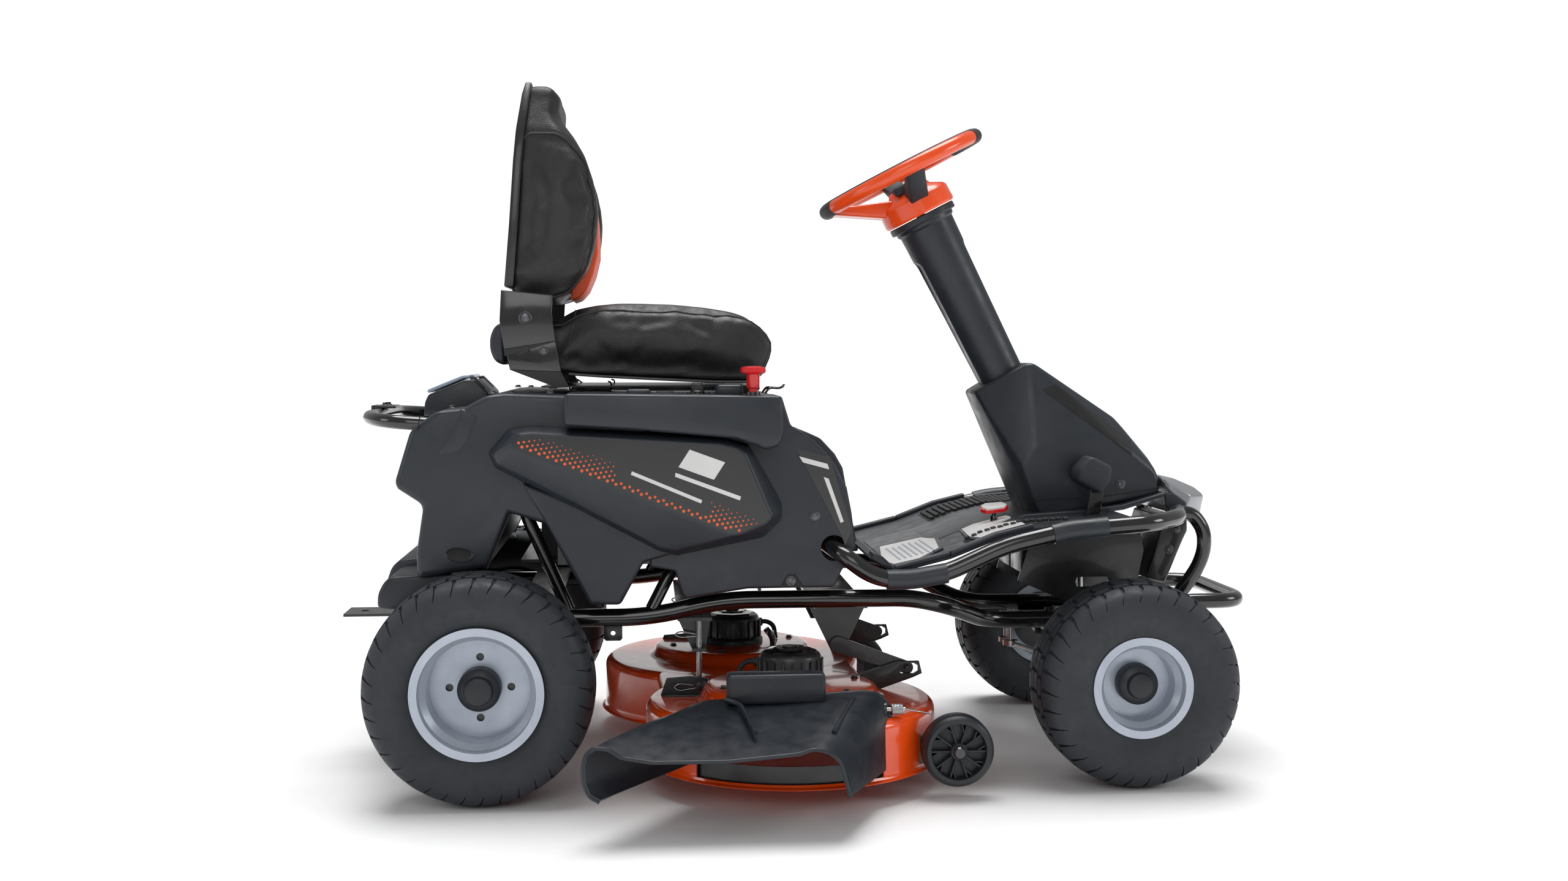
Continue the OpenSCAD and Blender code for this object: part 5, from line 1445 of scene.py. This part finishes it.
@dataclass
class Seat:
    """The high-backed seat: cushion, backrest, inserts, piping, bolts and springs."""

    voxel: float = 0.006

    def build(self) -> None:
        """Makes the whole seat."""
        self._cushion()
        self._backrest()
        self._mount()

    def _cushion(self) -> None:
        """Makes the seat cushion with its piping and middle panel."""
        half = DATUM.high("seat_cushion").y - 6
        outline = [(140, 757), (214, 752), (321, 746), (424, 741), (502, 741), (518, 756), (530, 778),
                   (536, 805), (532, 818), (516, 836), (495, 850), (455, 860), (403, 868), (349, 873),
                   (295, 875), (241, 875), (199, 871), (161, 863), (123, 842), (62, 838), (36, 830),
                   (28, 818), (31, 793), (46, 774), (100, 762)]
        hollow = [(x - (5 if x > 500 else 0), z - (8 if z > 830 and x > 150 else 0)) for x, z in outline]
        blank = Blank().slab(outline, 100, half, 26, 5).both_sides().slab(hollow, -124, 124, 7, 3)
        pad = Stuffing(self.voxel, 0.011).fill(blank)
        self._piping(pad, (300, 812), half - 22, "seat_piping", 2.2)
        self._side_seam(pad, [(162, 872), (159, 850), (152, 815), (146, 780), (141, 754)])
        self._grey_edge(half)
        cushion = pad.done("seat_pad", "seat", VINYL, ["seat_cushion"], smooth=70)
        top = [(206, 860), (210, 880), (241, 883), (295, 883.5), (349, 882), (403, 878), (452, 869),
               (486, 855), (478, 846)]
        self._panel("seat_middle", top, 92, 7)

    def _panel(self, name: str, outline: Sequence[Flat], half: float, edge: float) -> None:
        """Makes the sewn middle panel of a pad, with two channels across it.

        Args:
            name: The piece's name.
            outline: Its side outline.
            half: Half its width.
            edge: Width of its rounded edge.
        """
        panel = Blank()
        for y0, y1 in ((-half, -half / 3), (-half / 3, half / 3), (half / 3, half)):
            panel.slab(outline, y0 - 1.5, y1 + 1.5, edge, 4)
        panel.done(name, "seat", INSERT, smooth=50)

    def _side_seam(self, pad: Blank, line: Sequence[Flat]) -> None:
        """Lays a sewn seam on both sides of the cushion along a line of its side view."""
        tree = BVHTree.FromBMesh(pad.bm)
        seam = Blank()
        for side, _ in SIDES:
            spots = [tree.ray_cast(Vector((x, side * 400, z)), Vector((0, -side, 0)))[0] for x, z in line]
            seam.tube([tuple(spot) for spot in spots if spot is not None], 1.9, 8)
        seam.done("seat_side_seams", "seat", VINYL, smooth=60)

    def _grey_edge(self, half: float) -> None:
        """Makes the grey welt along the cushion's lower edge."""
        low = [(150, 753), (220, 748), (321, 743), (424, 738), (500, 738)]
        welt = Blank()
        for y in (-half + 6, half - 6):
            welt.tube([(x, y, z) for x, z in low], 2.6, 20)
        welt.done("seat_lower_welt", "seat", PIPING)

    def _piping(self, pad: Blank, centre: Flat, y: float, name: str, radius: float) -> None:
        """Runs a piping seam round a pad at a distance from its middle.

        Args:
            pad: The swollen pad.
            centre: A point inside its side outline.
            y: Distance of the seam from the centre plane.
            name: The piece's name.
            radius: The piping's radius.
        """
        tree = BVHTree.FromBMesh(pad.bm)
        seams = Blank()
        for place in (-y, y):
            points = []
            for i in range(96):
                angle = math.tau * i / 96
                way = Vector((math.cos(angle), 0, math.sin(angle)))
                start = Vector((centre[0], place, centre[1])) + way * 700
                spot, _, _, _ = tree.ray_cast(start, -way)
                if spot is not None:
                    points.append(spot + way * 0.4)
            seams.tube([tuple(p) for p in points], radius, 0, closed=True)
        seams.done(name, "seat", VINYL, smooth=60)

    def _backrest(self) -> None:
        """Makes the backrest with its headrest, insert and rear shell."""
        half = DATUM.high("backrest").y - 5
        outline = [(48, 892), (116, 892), (146, 902), (160, 917), (174, 942), (186, 983), (193, 1023),
                   (195, 1055), (192, 1085), (185, 1120), (170, 1164), (150, 1199), (127, 1232),
                   (121, 1246), (125, 1296), (119, 1309), (74, 1309), (69, 1281), (61, 1202),
                   (49, 1033), (40, 912)]
        hollow = [(x - (12 if x > 140 else 0), z) for x, z in outline]
        blank = Blank().slab(outline, 112, half).both_sides().slab(hollow, -134, 134)
        self._trim_sides(blank, ((half, 1150, half - 20, 1215), (half - 20, 1215, half - 82, 1314),
                                 (half - 22, 884, half, 940)))
        round_edges(blank.bm, 16, 4, sharp=35)
        pad = Stuffing(self.voxel, 0.010).fill(blank)
        self._piping(pad, (120, 1060), half - 26, "back_piping", 2.4)
        back = pad.done("back_pad", "seat", VINYL, ["backrest"], smooth=70)
        front = [(150, 893), (166, 899), (180, 915), (193, 945), (202, 982), (202, 1023), (200, 1055),
                 (196, 1088), (189, 1123), (176, 1160), (158, 1182), (150, 1182)]
        self._panel("back_middle", front, 104, 7)
        shell = Blank().slab([(68, 1306), (62, 1281), (53, 1202), (41, 1033), (31, 915), (48, 912),
                              (58, 1033), (70, 1202), (80, 1306)], -half + 6, half - 6)
        self._trim_sides(shell, ((half - 6, 1150, half - 27, 1215),
                                 (half - 27, 1215, half - 88, 1308)))
        round_edges(shell.bm, 3, 2, sharp=35)
        shell.done("back_shell", "seat", PLATE)

    def _trim_sides(self, blank: Blank, lines: Sequence[tuple[float, ...]]) -> None:
        """Cuts both sides of a workpiece off along lines of its front view.

        Args:
            blank: The workpiece.
            lines: Start and end of each cut, as y, z, y, z.
        """
        for y0, z0, y1, z1 in lines:
            for side in (-1, 1):
                run = Vector((0, (y1 - y0) * side, z1 - z0))
                out = Vector((0, run.z * side, -run.y * side)).normalized()
                self._trim(blank, Vector((0, y0 * side, z0)), out)

    def _trim(self, blank: Blank, spot: Vector, out: Vector) -> None:
        """Cuts a workpiece off beyond a plane and closes the cut."""
        bm = blank.bm
        if out.dot(Vector((0, spot.y, 0))) < 0:
            out = -out
        cut = bmesh.ops.bisect_plane(bm, geom=bm.verts[:] + bm.edges[:] + bm.faces[:], dist=0.001,
                                     plane_co=spot, plane_no=out, clear_outer=True)["geom_cut"]
        rim = [e for e in cut if isinstance(e, bmesh.types.BMEdge)]
        bmesh.ops.holes_fill(bm, edges=rim, sides=0)

    def _mount(self) -> None:
        """Makes the bracket plates and bolts, the springs and the latch wire."""
        plates = Blank().slab([(25, 851), (28, 907), (122, 898), (120, 865), (127, 814), (34, 799)],
                              238.6, 241.6, 1.2)
        plates.slab([(37, 797), (124, 826), (137, 757), (43, 761)], 233.6, 236, 1)
        plates.both_sides().done("bracket_plates", "seat", TUBE)
        bolts = Blank()
        bolts.bolt((72, 241, 857), (0, 1, 0), 9, 5).bolt((105, 235.6, 796), (0, 1, 0), 6, 4)
        bolts.both_sides().done("bracket_bolts", "seat", BOLT)
        Blank().slab([(32, 768), (12, 776), (3, 797), (3, 822), (12, 843), (32, 852)], -200, 200, 8, 3).done(
            "seat_back_cup", "seat", BODY)
        under = Blank().block((112, -206, 726), (128, -194, 731), 1)
        under.both_sides().done("pan_studs", "seat", BOLT)
        springs = Blank()
        for x in (176, 206):
            coil = [(x + 13 * math.cos(t * 0.52), 135 + 13 * math.sin(t * 0.52), 697 + t * 0.42)
                    for t in range(58)]
            springs.tube(coil, 2.2, 0)
            springs.rod((x, 135, 696), (x, 135, 700), 18, edge=1).rod((x, 135, 717), (x, 135, 721), 18)
        springs.both_sides().done("seat_springs", "chassis", PLATE)
        wires = Blank()
        wires.tube([(150, 150, 722), (146, 158, 738), (150, 166, 738), (176, 166, 719), (226, 166, 719),
                    (228, 158, 736), (222, 150, 738)], 1.6, 6)
        wires.both_sides().done("seat_spring_wires", "chassis", TUBE)
        latch = Blank().tube([(528, 40, 708), (537, 40, 724), (560, 26, 721), (570, 10, 724),
                              (571, -10, 730), (562, -26, 722), (537, -40, 724), (528, -40, 708)], 2.4, 12)
        latch.done("seat_latch_wire", "chassis", TUBE)


# ---- mower deck ----


@dataclass
class Deck:
    """The pressed orange deck with motors, brackets and hangers' ends."""

    right: Flat = (560.0, -268.0)
    left: Flat = (475.0, 195.0)
    radius: float = 269.0
    low: float = 45.0
    top: float = 151.0

    def build(self) -> None:
        """Makes the deck."""
        self._pan()
        self._motors()
        self._brackets()
        self._fittings()

    def _pan(self) -> None:
        """Makes the pan's two lobes, the web between them and the raised steps."""
        pan = Blank()
        for centre, other, drop in ((self.right, self.left, 0.0), (self.left, self.right, 0.35)):
            pan.take(self._lobe(centre, other, drop))
        web = bmesh.new()
        corners = [(717, 195), (308, 195), (318, -268), (727, -268)]
        points = [(x, y, z) for x, y in corners for z in (self.low + 2, self.top - 0.7)]
        for point in points:
            web.verts.new(point)
        bmesh.ops.convex_hull(web, input=web.verts)
        bmesh.ops.dissolve_limit(web, angle_limit=0.02, verts=web.verts, edges=web.edges)
        round_edges(web, 14, 5)
        ends = [f for f in web.faces if abs(f.normal.y) > 0.6 or f.normal.z < -0.5]
        bmesh.ops.delete(web, geom=ends, context="FACES")
        pan.take(web)
        for x, y in (self.right, self.left):
            pan.turned([(0, 175.4), (150, 175.4), (156, 174), (161, 170.5), (165, 164), (168, 156),
                        (174, 152), (178, 150.6), (0, 150.6)], upright(x, y, 0), 96)
        pan.done("deck_pan", "deck", ORANGE, ["deck_shell"], smooth=40)
        band = Blank().turned([(262, 49), (262, 82), (259, 82), (259, 49)],
                              upright(*self.right, 0) @ Matrix.Rotation(math.radians(212), 4, "Z"),
                              64, 116)
        band.done("deck_skirt_band", "deck", PLATE)

    def _lobe(self, centre: Flat, other: Flat, drop: float) -> bmesh.types.BMesh:
        """One round lobe of the pan, open below and where the other lobe lies.

        Args:
            centre: Middle of the lobe.
            other: Middle of the other lobe.
            drop: How much lower its top lies.

        Returns:
            The walled lobe.
        """
        r, top = self.radius, self.top - drop
        arc = [(r - 17 + 17 * math.sin(math.radians(a)), top - 17 + 17 * math.cos(math.radians(a)))
               for a in range(0, 91, 15)]
        section = [(140, top), (190, top), (225, top), *arc, (r, 118), (r, 82), (r, 60), (r, 52),
                   (r + 2, 48), (r + 7, 46), (r + 8, 45)]
        lobe = bmesh.new()
        verts = [lobe.verts.new((a, 0, h)) for a, h in section]
        edges = [lobe.edges.new(pair) for pair in zip(verts, verts[1:])]
        bmesh.ops.spin(lobe, geom=verts + edges, cent=(0, 0, 0), axis=(0, 0, 1), angle=math.tau,
                       steps=144, use_merge=True, use_duplicate=False)
        bmesh.ops.translate(lobe, vec=(*centre, 0), verts=lobe.verts)
        bmesh.ops.recalc_face_normals(lobe, faces=lobe.faces)
        if sum(f.normal.z for f in lobe.faces if f.normal.z ** 2 > 0.9) < 0:
            bmesh.ops.reverse_faces(lobe, faces=lobe.faces)
        lost = []
        for face in lobe.faces:
            c = face.calc_center_median()
            inside = math.hypot(c.x - other[0], c.y - other[1]) < r - 12
            joined = 330 < c.x < 700 and -200 < c.y < 150 and c.z < top - 1
            open_side = centre == self.right and c.y < -430 and 375 < c.x < 706 and 52 < c.z < 136
            if inside or joined or open_side:
                lost.append(face)
        bmesh.ops.delete(lobe, geom=lost, context="FACES")
        bmesh.ops.solidify(lobe, geom=lobe.faces[:], thickness=2.5)
        return lobe

    def _motors(self) -> None:
        """Makes the two blade motors with fins, covers and cable glands."""
        for (x, y), word, way in ((self.right, "right", -1), (self.left, "left", 1)):
            motor = Blank().turned([(0, 236), (50, 236), (55, 233), (58, 227), (58, 190), (64, 187),
                                    (66, 184), (66, 175), (0, 175)], upright(x, y, 0), 72)
            for i in range(20):
                turn = upright(x, y, 0) @ Matrix.Rotation(math.tau * i / 20, 4, "Z")
                motor.block((55, -2.4, 188), (62.5, 2.4, 224), 1.2, 1, place=turn)
            for i in range(4):
                angle = math.tau * (i + 0.5) / 4
                motor.bolt((x + 61 * math.cos(angle), y + 61 * math.sin(angle), 184), (0, 0, 1), 5, 4)
            motor.done(f"blade_motor_{word}", "deck", CASTING, smooth=34)
            cover = Blank().turned([(0, 243.5), (30, 243.5), (33, 241), (47, 239), (51, 236),
                                    (52, 231), (0, 231)], upright(x, y, 0), 8)
            cover.turned([(0, 246), (14, 246), (16, 244), (16, 240), (0, 240)], upright(x, y, 0), 32)
            cover.done(f"motor_cover_{word}", "deck", GLOSS_CAP, smooth=20)
            gland = Blank().tube([(x + 52 * way, y + 20, 212), (x + 76 * way, y + 26, 214),
                                  (x + 92 * way, y + 28, 204), (x + 96 * way, y + 28, 176)], 5, 14)
            gland.rod((x + 50 * way, y + 20, 212), (x + 66 * way, y + 23, 213), 9, edge=1)
            gland.done(f"motor_lead_{word}", "deck", PEDAL)

    def _brackets(self) -> None:
        """Makes the lifting brackets, the adjusting rods, gauge arms and chute lugs."""
        front = Blank().slab([(690, 150), (735, 150), (800, 172), (818, 180), (812, 204), (770, 204),
                              (700, 182)], 213, 218.5, 1)
        slot = Blank().slab([(778, 180), (802, 180), (810, 185), (810, 195), (802, 200), (778, 200),
                             (773, 195), (773, 185)], 205, 226)
        plates = Blank().take(carved(front, slot))
        plates.slab([(318, 150), (409, 150), (406, 182), (374, 186), (330, 183)], 237, 243, 1)
        plates.block((322, 237, 150), (405, 262, 154), 1).block((692, 200, 150), (738, 219, 154), 1)
        plates.slab([(700, 150), (724, 150), (717, 164), (707, 164)], 186, 213, 2)
        plates.both_sides().done("deck_lift_brackets", "deck", PLATE)
        rods = Blank().rod((391, 230, 150), (391, 230, 299), 5, edge=1)
        for i in range(18):
            rods.rod((391, 230, 244 + i * 3), (391, 230, 245.6 + i * 3), 5.7, segments=16)
        rods.both_sides().done("deck_rods", "deck", STEEL)
        ends = Blank().rod((391, 230, 158), (391, 230, 176), 9, edge=2)
        ends.bolt((391, 241, 167), (0, 1, 0), 8, 5)
        ends.both_sides().done("deck_rod_clevises", "deck", PLATE)
        pins = Blank().tube([(380, 243, 169), (352, 250, 174), (342, 250, 167), (352, 250, 160),
                             (386, 243, 164)], 1.4, 8)
        pins.both_sides().done("hairpin_clips", "deck", STEEL)
        pins = Blank().tube([(385, 224, 262), (356, 222, 268), (344, 222, 262), (356, 222, 256),
                   (385, 224, 258)], 1.4, 8)
        pins.both_sides().done("hanger_clips", "chassis", STEEL)
        self._arms()

    def _arms(self) -> None:
        """Makes the gauge wheels' arms and the chute's hinge."""
        for side, word in SIDES:
            low, high = DATUM.low(f"gauge_wheel_{word}"), DATUM.high(f"gauge_wheel_{word}")
            x, z = (low.x + high.x) / 2, (low.z + high.z) / 2
            inner = low.y if side > 0 else high.y
            hub = (self.left if side > 0 else self.right)
            y = inner - side * 6
            edge = hub[0] + math.sqrt(self.radius ** 2 - (y - hub[1]) ** 2) - 8
            y0, y1 = sorted((y, y - side * 6))
            arm = Blank().slab([(edge, z - 31), (edge, z + 21), (x - 6, z + 21), (x + 14, z + 12),
                                (x + 14, z - 12), (x - 6, z - 31)], y0, y1, 1.5)
            arm.rod((x, y - side * 6, z), (x, y + side * 56, z), 6, edge=1)
            arm.bolt((x, y - side * 6, z), (0, -side, 0), 9, 6)
            arm.done(f"gauge_arm_{word}", "deck", PLATE)
        hinge = Blank().rod((391, -466, 165), (709, -466, 165), 4, edge=0.6)
        for x in (392, 702):
            hinge.block((x, -474, 149), (x + 6, -457, 172), 2)
        hinge.turned([(4.5, -9), (13, -9), (14, -7), (14, 0), (4.5, 0)], Matrix.Translation(
            (712, -466, 165)) @ Matrix.Rotation(math.pi / 2, 4, "Y"), 24)
        hinge.done("chute_hinge", "deck", PLATE)
        coil = [(722 + t * 0.24, -466 + 9 * math.cos(t * 0.6), 165 + 9 * math.sin(t * 0.6))
                for t in range(84)]
        spring = Blank().tube(coil, 1.5, 0).tube([(742, -457, 165), (770, -452, 158), (796, -438, 150)],
                                                 1.5, 8)
        spring.rod((708, -466, 165), (746, -466, 165), 4)
        spring.done("chute_spring", "deck", STEEL)

    def _fittings(self) -> None:
        """Makes the wash-out elbow and the pan's bolts."""
        elbow = Blank().tube([(553, 60, 150), (553, 60, 206), (538, 60, 224)], 6.5, 12)
        elbow.turned([(0, 158), (20, 158), (22, 156), (22, 150), (0, 150)], upright(553, 60, 0), 32)
        elbow.turned([(5, 214), (9, 214), (9, 219), (5, 219)], upright(546, 60, 0), 24)
        elbow.done("wash_elbow", "deck", GLOSS_CAP)
        bolts = Blank()
        for (x, y) in (self.right, self.left):
            for i in range(6):
                angle = math.tau * i / 6 + 0.3
                bolts.bolt((x + 132 * math.cos(angle), y + 132 * math.sin(angle), 175), (0, 0, 1), 6, 4)
        bolts.done("deck_bolts", "deck", BOLT)


@dataclass
class Chute:
    """The flared side-discharge chute on its hinge."""

    inner_y: float = -459.0
    outer_y: float = -696.0
    wall: float = 5.0
    inner: tuple[Flat, ...] = (
        (364, 74), (364, 92), (364, 112), (364, 142), (365, 160), (370, 174), (384, 183), (400, 186),
        (440, 188), (540, 191), (640, 196), (672, 198), (696, 195), (714, 182), (722, 150), (723, 62))
    outer: tuple[Flat, ...] = (
        (216, 74), (199, 84), (191, 104), (190, 134), (195, 152), (209, 163), (232, 159), (250, 146),
        (300, 137), (420, 136), (538, 146), (562, 154), (587, 148), (606, 131), (617, 92), (622, 74))

    def build(self) -> None:
        """Makes the chute's skin, its rolled lip and its hinge box."""
        skin = bmesh.new()
        loops = []
        for share in (0.0, 0.12, 0.5, 0.88, 1.0):
            y = self.inner_y + (self.outer_y - self.inner_y) * share
            bow = 5 * math.sin(math.pi * share)
            ring = []
            for (x0, z0), (x1, z1) in zip(self.inner, self.outer):
                x, z = x0 + (x1 - x0) * share, z0 + (z1 - z0) * share
                ring.append(skin.verts.new((x, y, z + (bow if z > 110 else 0))))
            loops.append([skin.edges.new(pair) for pair in zip(ring, ring[1:])])
        for first, second in zip(loops, loops[1:]):
            bmesh.ops.bridge_loops(skin, edges=first + second)
        bmesh.ops.recalc_face_normals(skin, faces=skin.faces)
        if sum(f.normal.z * f.calc_area() for f in skin.faces) < 0:
            bmesh.ops.reverse_faces(skin, faces=skin.faces)
        bmesh.ops.solidify(skin, geom=skin.faces[:], thickness=self.wall)
        chute = Blank().take(skin)
        lip = [(x, self.outer_y + 2, z - 1.5) for x, z in self.outer]
        chute.tube(lip, 3.4, 9)
        rim = [(x, self.inner_y - 2, z) for x, z in self.inner[9:]]
        chute.tube([(p[0] - 1, p[1], p[2] - 2) for p in rim], 4, 12)
        chute.block((431, -502, 184), (602, -459, 237), 7, 3)
        ridge = [(428, -498, 195), (452, -520, 190), (470, -640, 168)]
        chute.tube(ridge, 4.5, 20).tube([(650, -500, 192), (600, -640, 166)], 4.5, 0)
        for x in (404, 690):
            chute.rod((x, -466, 165), (x + 8, -466, 165), 10, edge=1)
        chute.done("chute_cover", "chute", CHUTE, ["discharge_chute"], smooth=45)


@dataclass
class GaugeWheel:
    """A small hard wheel with ten ribs."""

    node: str
    body: str

    def build(self, side: int) -> None:
        """Makes the wheel.

        Args:
            side: 1 for left, -1 for right.
        """
        low, high = DATUM.low(self.node), DATUM.high(self.node)
        centre, radius, half = (low + high) / 2, (high.z - low.z) / 2, (high.y - low.y) / 2
        place = across(centre.x, centre.y, centre.z, side)
        wheel = Blank().turned([(radius - 14, half), (radius - 7, half), (radius - 2, half - 4),
                                (radius, half - 9), (radius, 9 - half), (radius - 2, 4 - half),
                                (radius - 7, -half), (radius - 14, -half), (radius - 16, -half + 6),
                                (radius - 16, half - 6)], place, 72)
        wheel.turned([(6.1, 4), (radius - 15, 4), (radius - 15, -4), (6.1, -4)], place, 48)
        wheel.turned([(6.1, half - 1), (14, half - 1), (16, half - 4), (16, -half), (6.1, -half)],
                     place, 40)
        for i in range(10):
            turn = place @ Matrix.Rotation(math.tau * i / 10, 4, "Z")
            wheel.block((14, -1.8, 0), (radius - 14, 1.8, half - 5), 0.8, 1, place=turn)
            bend = turn @ Matrix.Translation((radius - 31, 0, 0)) @ Matrix.Rotation(0.6, 4, "Z")
            wheel.block((0, -1.5, 0), (17, 1.5, half - 6), 0.6, 1, place=bend)
        wheel.done(f"{self.node}_ribbed", self.body, GAUGE, [self.node], smooth=32)
        nut = Blank().turned([(0, half + 10), (9, half + 10), (11, half + 7), (11, half - 2),
                              (0, half - 2)], place, 24)
        nut.done(f"{self.node}_cap", self.body, GLOSS_CAP)


# ---- studio ----


class Studio:
    """Pale floor, soft lamps and the camera."""

    def build(self) -> None:
        """Sets up the floor, the lamps and the camera."""
        self._floor()
        self._lamps()
        self._camera()

    def _floor(self) -> None:
        """Makes the floor sheet."""
        bm = bmesh.new()
        bmesh.ops.create_grid(bm, x_segments=2, y_segments=2, size=14)
        mesh = bpy.data.meshes.new("floor")
        bm.to_mesh(mesh)
        bm.free()
        floor = bpy.data.objects.new("floor", mesh)
        bpy.context.scene.collection.objects.link(floor)
        floor.location.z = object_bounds()[0].z - 0.0005
        mesh.materials.append(Finish("studio_floor", "body", (0.93, 0.93, 0.93), (0.95, 0.95, 0.95), 0.7,
                                     0.05, depth=0.0).material())
        floor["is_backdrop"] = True

    def _lamps(self) -> None:
        """Hangs the soft lamps and lights the surroundings."""
        world = bpy.data.worlds.new("studio")
        world.use_nodes = True
        tree = world.node_tree
        fill = tree.nodes["Background"]
        fill.inputs["Color"].default_value = (1, 1, 1, 1)
        fill.inputs["Strength"].default_value = 0.34
        backdrop = tree.nodes.new("ShaderNodeBackground")
        backdrop.inputs["Color"].default_value = (1, 1, 1, 1)
        backdrop.inputs["Strength"].default_value = 1.05
        seen = tree.nodes.new("ShaderNodeLightPath")
        either = tree.nodes.new("ShaderNodeMixShader")
        tree.links.new(seen.outputs["Is Camera Ray"], either.inputs["Fac"])
        tree.links.new(fill.outputs["Background"], either.inputs[1])
        tree.links.new(backdrop.outputs["Background"], either.inputs[2])
        tree.links.new(either.outputs["Shader"], tree.nodes["World Output"].inputs["Surface"])
        bpy.context.scene.world = world
        bpy.context.scene.view_settings.view_transform = "Standard"
        top = bpy.data.lights.new("top_light", "SUN")
        top.energy = 2.5
        top.angle = math.radians(40)
        hung = bpy.data.objects.new("top_light", top)
        bpy.context.scene.collection.objects.link(hung)
        hung.rotation_euler = (math.radians(-14), 0, 0)
        for name, place, aim, size, power in (
                ("near_side", (-0.6, -4.2, 2.6), (0, 0, 0.5), 2.4, 30),
                ("front_strip", (4.2, -1.4, 2.0), (0.3, 0, 0.5), 1.4, 30),
                ("rear_strip", (-4.2, -1.2, 1.8), (-0.3, 0, 0.5), 1.4, 14),
                ("far_strip", (0.0, 3.0, 0.9), (0.1, 0, 0.2), 1.6, 3)):
            lamp = bpy.data.lights.new(name, "AREA")
            lamp.size = size
            lamp.energy = power
            hung = bpy.data.objects.new(name, lamp)
            bpy.context.scene.collection.objects.link(hung)
            hung.location = place
            way = Vector(aim) - Vector(place)
            hung.rotation_euler = way.to_track_quat("-Z", "Y").to_euler()

    def _camera(self) -> None:
        """Places the camera on the machine's right side, a little above it."""
        data = bpy.data.cameras.new("camera")
        data.lens = 37.8
        data.sensor_width = 36
        camera = bpy.data.objects.new("camera", data)
        bpy.context.scene.collection.objects.link(camera)
        camera.location = (-0.2998, -3.201, 0.7861)
        camera.rotation_euler = (math.pi / 2 - 0.0511, 0, -0.0835)
        bpy.context.scene.camera = camera


def main() -> None:
    """Builds the machine's looks piece by piece."""
    logging.basicConfig(level=logging.INFO, format="%(name)s: %(message)s")
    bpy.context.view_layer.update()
    LOG.info("%d carried nodes dressed", dress_carried_nodes())
    TubeFrame().build()
    build_wheels()
    RearBody().build()
    FrontSkirt().build()
    SidePanel().build()
    Consoles().build()
    Cowl().build()
    Column().build()
    SteeringWheel().build()
    Lamp().build()
    Footwell().build()
    Controls().build()
    Seat().build()
    Deck().build()
    Chute().build()
    for side, word in SIDES:
        GaugeWheel(f"gauge_wheel_{word}", f"gauge_body_{word}").build(side)
    Studio().build()


if __name__ == "__main__":
    main()
